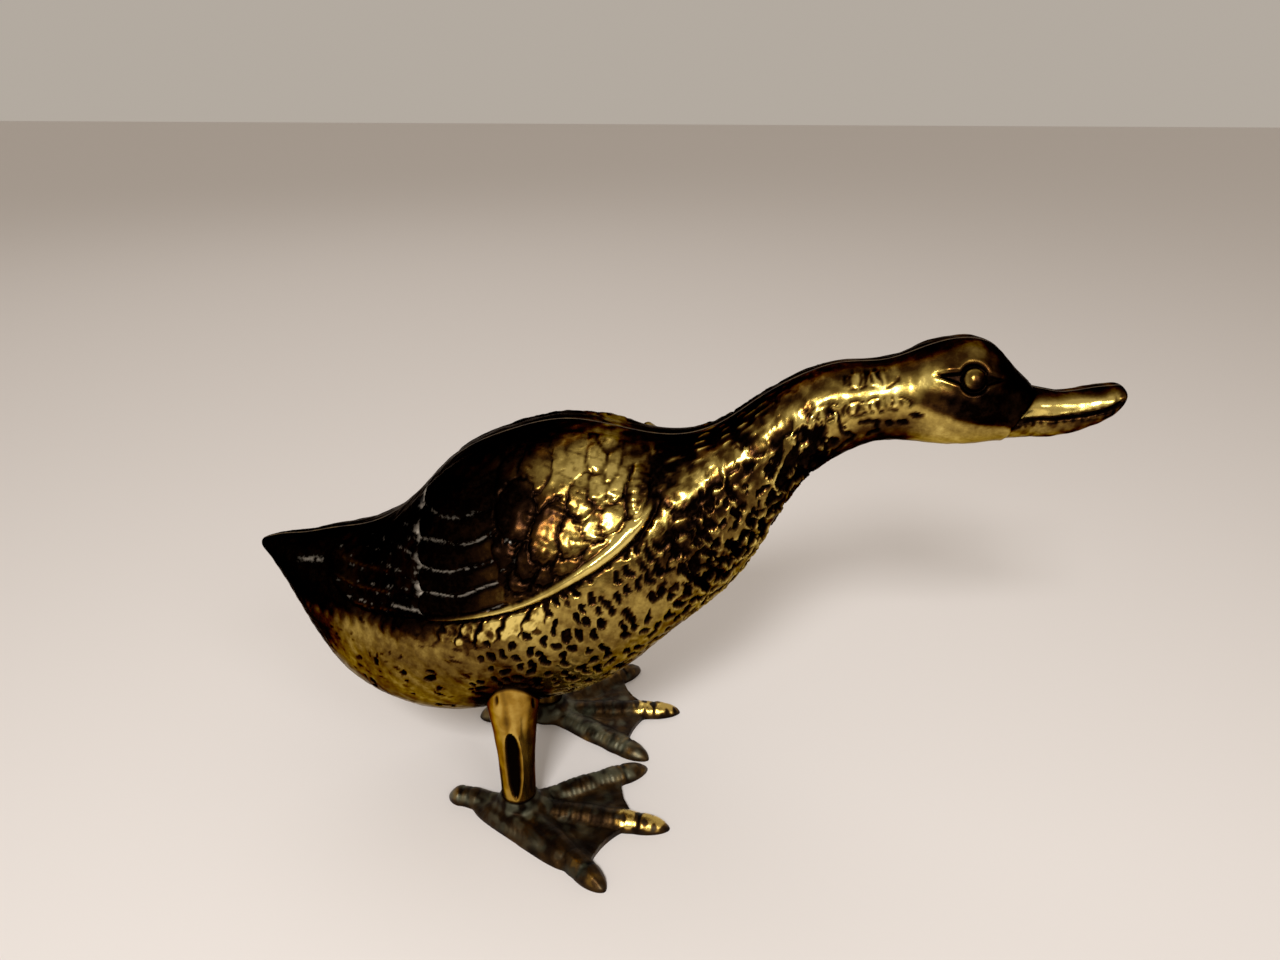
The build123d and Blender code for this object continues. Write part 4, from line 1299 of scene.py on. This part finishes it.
# Each toe: its length and direction, its shape, and how much it is ringed, ridged, rubbed bright with a
# painted highlight, and dusty
toes = [
    (*middle_toe, toe_shares, 0.5, 0.0, 1.5, 0.0),
    (*outer_toe, toe_shares, 0.2, 0.16, 0.25, 0.0),
    (*inner_toe, toe_shares, 0.6, 0.0, 0.25, 0.42),
    (*hind_toe, hind_toe_shares, 0.3, 0.0, 0.25, 0.42),
]


def toe_radius(shares, length):
    """Radius of a toe at a distance from the ankle, with its rounded nail."""
    places, widths = zip(*shares)
    body = smooth_curve(np.array(places) * length, np.array(widths) * toe_width / 2)
    nail_start = places[-1] * length

    def radius(distance):
        nail = np.clip((distance - nail_start) / (length - nail_start), 0, 1)
        return body(distance) * (1 - nail**1.9) ** 0.62

    return radius


def from_ankle(reach, turn):
    """A place on the floor, so far from the ankle and in that direction."""
    return leg_x + reach * math.cos(math.radians(turn)), leg_y + reach * math.sin(math.radians(turn))


def arc_through(start, middle, end, steps=14):
    """Points of the arc through three places on the floor."""
    (ax, ay), (bx, by), (cx, cy) = start, middle, end
    scale = 2 * (ax * (by - cy) + bx * (cy - ay) + cx * (ay - by))
    a, b, c = ax**2 + ay**2, bx**2 + by**2, cx**2 + cy**2
    centre_x = (a * (by - cy) + b * (cy - ay) + c * (ay - by)) / scale
    centre_y = (a * (cx - bx) + b * (ax - cx) + c * (bx - ax)) / scale
    first = math.atan2(ay - centre_y, ax - centre_x)
    sweep = math.atan2(cy - centre_y, cx - centre_x) - first
    via = (math.atan2(by - centre_y, bx - centre_x) - first) % (2 * math.pi)
    sweep %= 2 * math.pi
    if via > sweep:
        sweep -= 2 * math.pi
    radius = math.hypot(ax - centre_x, ay - centre_y)
    angles = [first + sweep * i / steps for i in range(steps + 1)]
    return [(centre_x + radius * math.cos(angle), centre_y + radius * math.sin(angle)) for angle in angles]


def add_toe(bm, length, turn, radius, place=(leg_x, leg_y)):
    """A round toe along its direction, half of it under the floor until the sole is cut."""
    start = toe_start_share * length
    distances = length - (length - start) * (1 + np.cos(np.linspace(0, math.pi, 60))) / 2
    profile = [(0, start)] + [(float(radius(d)), float(d)) for d in distances[:-1]] + [(0, length)]
    toe = spun(profile, toe_sides)
    for degrees, axis in ((90, "Y"), (turn, "Z")):
        rotation = Matrix.Rotation(math.radians(degrees), 3, axis)
        bmesh.ops.rotate(toe, cent=(0, 0, 0), matrix=rotation, verts=toe.verts)
    bmesh.ops.translate(toe, vec=(place[0] * mm, place[1] * mm, 0), verts=toe.verts)
    add_to(bm, toe)


def add_to(bm, other):
    """Add a second bmesh to the first."""
    part = bpy.data.meshes.new("part")
    other.to_mesh(part)
    other.free()
    bm.from_mesh(part)
    bpy.data.meshes.remove(part)


def add_web(bm):
    """The web between the front toes, as a plate that reaches below the floor."""
    ends = [from_ankle(web_end_share * length, turn) for length, turn in (outer_toe, middle_toe, inner_toe)]
    hollows = [from_ankle(outer_web_reach, (outer_toe[1] + middle_toe[1]) / 2)]
    hollows.append(from_ankle(inner_web_reach, (inner_toe[1] + middle_toe[1]) / 2))
    outline = [(leg_x, leg_y)] + arc_through(ends[0], hollows[0], ends[1])
    outline += arc_through(ends[1], hollows[1], ends[2])[1:]
    add_plate(bm, outline, web_thickness)


def add_plate(bm, outline, thickness):
    """A flat plate with this outline, which reaches below the floor."""
    plate = bmesh.new()
    corners = [plate.verts.new((x * mm, y * mm, -mm)) for x, y in outline]
    face = plate.faces.new(corners)
    top = bmesh.ops.extrude_face_region(plate, geom=[face])["geom"]
    top = [item for item in top if isinstance(item, bmesh.types.BMVert)]
    bmesh.ops.translate(plate, vec=(0, 0, (thickness + 1) * mm), verts=top)
    bmesh.ops.recalc_face_normals(plate, faces=plate.faces)
    add_to(bm, plate)


def add_heel_edge(bm):
    """The straight rounded edge that runs from the hind toe past the ankle to the outer toe."""
    start, end = (from_ankle(*place) for place in heel_edge_ends)
    length = math.dist(start, end)
    turn = math.degrees(math.atan2(end[1] - start[1], end[0] - start[0]))

    def rounded(distance):
        from_middle = abs(2 * distance / length - 1)
        return heel_edge_width / 2 * (1 - from_middle**5) ** 0.5

    add_toe(bm, length, turn, rounded, start)
    add_plate(bm, [(leg_x, leg_y), start, end], heel_edge_height)


def remeshed(bm, voxel):
    """The bmesh made one skin by a voxel remesh."""
    raw = finished(bm, "raw")
    remesh = raw.modifiers.new("one_skin", "REMESH")
    remesh.mode = "VOXEL"
    remesh.voxel_size = voxel * mm
    whole = bpy.data.meshes.new_from_object(raw.evaluated_get(bpy.context.evaluated_depsgraph_get()))
    bpy.data.objects.remove(raw)
    bm = bmesh.new()
    bm.from_mesh(whole)
    bpy.data.meshes.remove(whole)
    return bm


def make_foot(name, mirrored, seed):
    """One foot: toes, web and hub made one skin, then ringed, cut flat below and drilled."""
    bm = bmesh.new()
    for length, turn, shares, *_ in toes:
        add_toe(bm, length, turn, toe_radius(shares, length))
    add_web(bm)
    add_heel_edge(bm)
    low, high, top = ankle_boss_foot_width / 2, ankle_boss_width / 2, ankle_height
    profile = [(0, -1), (low, -1), (low, 0.4), (high + 0.3, top - 0.5), (high - 0.3, top), (0, top)]
    hub = spun(profile, hub_sides)
    bmesh.ops.translate(hub, vec=(leg_x * mm, leg_y * mm, 0), verts=hub.verts)
    add_to(bm, hub)
    bm = remeshed(bm, foot_grain)
    near_hub = [v for v in bm.verts if 4.6 < math.hypot(v.co.x / mm - leg_x, v.co.y / mm - leg_y) < 12]
    for verts in [near_hub] * hub_smoothing + [bm.verts]:
        bmesh.ops.smooth_vert(bm, verts=verts, factor=0.5, use_axis_x=True, use_axis_y=True, use_axis_z=True)
    bm.normal_update()
    points = coordinates(bm)
    normals = np.array([vertex.normal for vertex in bm.verts])
    x, y, z = points[:, 0] - leg_x, points[:, 1] - leg_y, points[:, 2]
    reach = np.hypot(x, y)
    lift, rub, dust = np.zeros((3, len(x)))
    patina = np.full(len(x), foot_tone)
    web_share = step(0.1, 0.8, normals[:, 2])
    for place, (length, turn, shares, rings, ridged, rubbed, dulled) in enumerate(toes):
        radius = toe_radius(shares, length)
        direction = math.radians(turn)
        distance = x * math.cos(direction) + y * math.sin(direction)
        aside = -x * math.sin(direction) + y * math.cos(direction)
        half = np.maximum(radius(np.clip(distance, 0, length)), 0.01)
        on_toe = fade(0.80, 1.0, np.abs(aside) / half) * step(5.5, 8.5, distance) * step(0.3, 0.9, z)
        nail_start = nail_start_share * length
        ring = distance / ring_pitch + 0.05 * np.random.default_rng(seed + place).uniform(-1, 1)
        ring = ring - np.round(ring)
        ringed = on_toe * fade(nail_start - 1.2, nail_start - 0.2, distance)
        groove = bell(ring * ring_pitch, 0.36)
        lift += rings * ringed * (ring_height * (1 - (2 * ring) ** 2) - (ring_height + 0.12) * groove)
        patina += 0.3 * ringed * groove * rings
        cuticle = bell(distance - nail_start, 0.45) * on_toe
        lift -= 0.25 * cuticle
        patina += 0.4 * cuticle
        # Bright patches on the toe tops: rubbed brass and painted highlights.
        patches = sum(bell(distance - share * length, rubbed_width) for share in rubbed_shares)
        patches = patches * on_toe * (1 - cuticle) * step(-0.8, 0.2, ripple(points, 2.6, seed + 9))
        rub += patches * rubbed
        ridge = bell(aside + 0.35 * half, 0.5) - 0.7 * bell(aside - 0.25 * half, 0.5)
        lift += ridged * on_toe * ridge
        dust += dulled * on_toe * step(-0.7, 0.7, ripple(points, 4.5, seed + 8))
        web_share *= 1 - fade(0.85, 1.25, np.abs(aside) / half) * step(0, 2, distance) * (distance < length)
    web_share *= step(7.5, 10.5, reach) * (z > 0.6)
    spoke = np.sin(np.arctan2(y, x) * web_spokes + 0.6 * ripple(points, 6.0, seed + 3))
    lift -= web_share * (web_hollow + 0.07 * spoke)
    lift += 0.07 * ripple(points, 3.0, seed + 4) * step(0.4, 1.0, z) * (reach > 5.5)
    lift *= step(0.2, 0.8, z)
    dust += web_share * step(-0.2, 1.0, ripple(points, 7.0, seed + 5) + 1.1 - reach / 12) * 0.36
    dust += 0.12 * step(0.6, 1.3, ripple(points, 4.0, seed + 6)) * step(0.5, 1, z)
    dust += 0.34 * bell(reach - 6.4, 2.2) * step(-0.5, 0.7, ripple(points, 3.4, seed + 10)) * step(0.5, 1, z)
    patina += 0.12 * ripple(points, 6.0, seed + 7) - 0.75 * rub
    patina += 0.25 * bell(reach - ankle_boss_width / 2, 0.8)
    points = points + normals * lift[:, None]
    points[:, 1] = np.minimum(points[:, 1], -toe_spacing / 2)
    set_vertices(bm, points, patina=np.clip(patina, 0, 1), dust=np.clip(dust, 0, 1))
    whole = bm.verts[:] + bm.edges[:] + bm.faces[:]
    cut = bmesh.ops.bisect_plane(bm, geom=whole, plane_co=(0, 0, 0), plane_no=(0, 0, 1), clear_inner=True)
    cut = cut["geom_cut"]
    rim = [item for item in cut if isinstance(item, bmesh.types.BMEdge)]
    bmesh.ops.holes_fill(bm, edges=rim, sides=0)
    foot = finished(bm, name)
    drill(foot)
    if mirrored:
        bm = bmesh.new()
        bm.from_mesh(foot.data)
        mirror_over(bm)
        bm.to_mesh(foot.data)
        bm.free()
    foot.data.set_sharp_from_angle(angle=math.radians(55))
    return foot


def drill(foot):
    """Cut the countersunk screw hole up through the hub."""
    head, shank = screw_hole_width / 2, screw_shank_width / 2
    seat = screw_recess + screw_hole_depth
    top = ankle_height + 1
    profile = [(0, -1), (head, -1), (head, screw_recess), (shank, seat), (shank, top), (0, top)]
    bm = spun(profile, hole_sides)
    bmesh.ops.translate(bm, vec=(leg_x * mm, leg_y * mm, 0), verts=bm.verts)
    cutter = finished(bm, "cutter")
    cut = foot.modifiers.new("screw_hole", "BOOLEAN")
    cut.operation = "DIFFERENCE"
    cut.object = cutter
    drilled = bpy.data.meshes.new_from_object(foot.evaluated_get(bpy.context.evaluated_depsgraph_get()))
    foot.modifiers.clear()
    foot.data = drilled
    bpy.data.objects.remove(cutter)


# Cast brass left as it came from patination: dull, dark and greenish, with dust in the webs
foot_brass, shader = new_material("weathered_cast_brass")
where = add_node(foot_brass, "TexCoord").outputs["Object"]
patina = add_node(foot_brass, "Attribute", attribute_name="patina").outputs["Fac"]
dust = add_node(foot_brass, "Attribute", attribute_name="dust").outputs["Fac"]
clouds, verdigris, pitted = (
    add_node(
        foot_brass,
        "TexNoise",
        {"Vector": where, "Scale": 1 / (size * mm), "Detail": detail, "Roughness": roughness},
    ).outputs["Fac"]
    for size, detail, roughness in ((3.0, 6.0, 0.65), (5.0, 4.0, 0.5), (0.6, 4.0, 0.7))
)
darkness = add_node(foot_brass, "Math", {0: clouds, 1: 0.6, 2: patina}, operation="MULTIPLY_ADD").outputs[0]
age_and_painted_light = add_node(foot_brass, "Math", {0: darkness, 1: 0.3}, operation="SUBTRACT", use_clamp=True).outputs[0]
foot_tones = [(0.0, "#e6c66c"), (0.22, "#86642a"), (0.45, "#46321a"), (0.7, "#22160c"), (1.0, "#0a0603")]
tone = fill_ramp(add_node(foot_brass, "ValToRGB", {"Fac": age_and_painted_light}), foot_tones)
gloss = fill_ramp(add_node(foot_brass, "ValToRGB", {"Fac": age_and_painted_light}), [(0.0, 0.24), (0.5, 0.42), (1.0, 0.58)])
green_part = add_node(
    foot_brass, "Math", {0: verdigris, 1: 3.0, 2: -1.6}, operation="MULTIPLY_ADD", use_clamp=True
)
green_held = add_node(foot_brass, "Math", {0: green_part.outputs[0], 1: age_and_painted_light}, operation="MULTIPLY").outputs[0]
greened = add_node(
    foot_brass, "Mix", {"Factor": green_held, "A": tone, "B": colour("#484a34")}, data_type="RGBA"
)
dusty = add_node(
    foot_brass,
    "Mix",
    {"Factor": dust, "A": greened.outputs["Result"], "B": colour("#6b6a4f")},
    data_type="RGBA",
)
metal_part = add_node(foot_brass, "Math", {0: 1.0, 1: dust}, operation="SUBTRACT", use_clamp=True).outputs[0]
less_metal = add_node(
    foot_brass, "Math", {0: green_held, 1: -0.5, 2: metal_part}, operation="MULTIPLY_ADD", use_clamp=True
)
bump = add_node(foot_brass, "Bump", {"Height": pitted, "Distance": 0.12 * mm, "Strength": 0.6})
set_inputs(foot_brass, shader, {
    "Base Color": dusty.outputs["Result"],
    "Roughness": gloss,
    "Metallic": less_metal.outputs[0],
    "Normal": bump.outputs[0],
})

for side, mirrored, seed in (("right", False, 21), ("left", True, 33)):
    foot = make_foot("webbed_foot_" + side, mirrored, seed)
    foot.data.materials.clear()
    foot.data.materials.append(foot_brass)
    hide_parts("foot_" + side)
    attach(foot, "root")


# Studs and screws.
# A drawn brass stud pins each leg to the body, and a turned countersunk brass screw holds each
# foot to its leg from below. The studs are hidden, and the screw heads show under the feet.
def fastener_brass(name, code, roughness, scratch_size):
    """Bright machined brass with fine tool marks, a little tarnished."""
    material, shader = new_material(name)
    where = add_node(material, "TexCoord").outputs["Object"]
    stain = add_node(material, "TexNoise", {"Vector": where, "Scale": 1 / (1.8 * mm), "Detail": 4.0})
    tone = fill_ramp(
        add_node(material, "ValToRGB", {"Fac": stain.outputs["Fac"]}), [(0.3, "#5a4220"), (0.6, code)]
    )
    marks = add_node(material, "TexNoise", {"Vector": where, "Scale": 1 / (scratch_size * mm), "Detail": 2.0})
    bump = add_node(
        material, "Bump", {"Height": marks.outputs["Fac"], "Distance": 0.04 * mm, "Strength": 0.4}
    )
    inputs = {"Base Color": tone, "Normal": bump.outputs[0], "Metallic": 1.0, "Roughness": roughness}
    set_inputs(material, shader, inputs)
    return material


stud_brass = fastener_brass("drawn_brass", "#c49a4c", 0.28, 0.3)
screw_brass = fastener_brass("turned_brass", "#b98f45", 0.32, 0.2)
for side in ("right", "left"):
    for node, material in (("leg_stud_" + side, stud_brass), ("foot_screw_" + side, screw_brass)):
        for material_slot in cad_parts[node].material_slots:
            material_slot.material = material


# Camera at the photograph's viewing angle, a little above the duck and to the right of its middle
scene = bpy.context.scene
camera_data = bpy.data.cameras.new("camera")
camera_data.sensor_width = 36
camera_data.lens = 27
camera = bpy.data.objects.new("camera", camera_data)
camera.location = (13.76 * mm, -205.5 * mm, 172.4 * mm)
camera.rotation_euler = (math.radians(66.6), 0, math.radians(5.2))
scene.collection.objects.link(camera)
scene.camera = camera

# Plain pale floor
floor_size = 6.0
bm = bmesh.new()
bmesh.ops.create_grid(bm, x_segments=1, y_segments=1, size=floor_size / 2)
floor = finished(bm, "floor")
floor_paint, shader = new_material("pale_floor")
set_inputs(floor_paint, shader, {"Base Color": colour("#dad4d0"), "Roughness": 0.8})
floor.data.materials.append(floor_paint)

# Soft studio light: a lamp over the camera, two weak ones, and a pale room that mirrors show too
world = bpy.data.worlds.new("room")
world.use_nodes = True
room = world.node_tree.nodes["Background"]
room.inputs["Color"].default_value = colour("#d2c8bc")
ray = add_node(world, "LightPath")
seen = ray.outputs["Is Camera Ray"]
for kind in ("Is Glossy Ray", "Is Transmission Ray"):
    seen = add_node(world, "Math", {0: seen, 1: ray.outputs[kind]}).outputs[0]
strength = add_node(world, "MapRange", {"Value": seen, "To Min": 0.78, "To Max": 0.70})
world.node_tree.links.new(strength.outputs[0], room.inputs["Strength"])
scene.world = world

# Each lamp: its place, what it is aimed at, its size, how wide it spreads in degrees, and its power.
# A grid on the key lamp keeps its light off the floor below it.
for name, place, target, size, spread, power in (
    ("key", (-0.05, -0.56, 0.54), (0, 0, 0.06), 0.15, 120, 1.86),
    ("fill", (0.34, -0.52, 0.50), (0, 0, 0.06), 0.25, 180, 1.0),
    ("back", (-0.35, 0.55, 0.80), (0, 0, 0.06), 0.60, 180, 1.2),
):
    light_data = bpy.data.lights.new(name, "AREA")
    light_data.size = size
    light_data.energy = power
    light_data.spread = math.radians(spread)
    light = bpy.data.objects.new(name, light_data)
    light.location = place
    light.rotation_euler = (Vector(target) - Vector(place)).to_track_quat("-Z", "Y").to_euler()
    scene.collection.objects.link(light)

scene.view_settings.view_transform = "Standard"
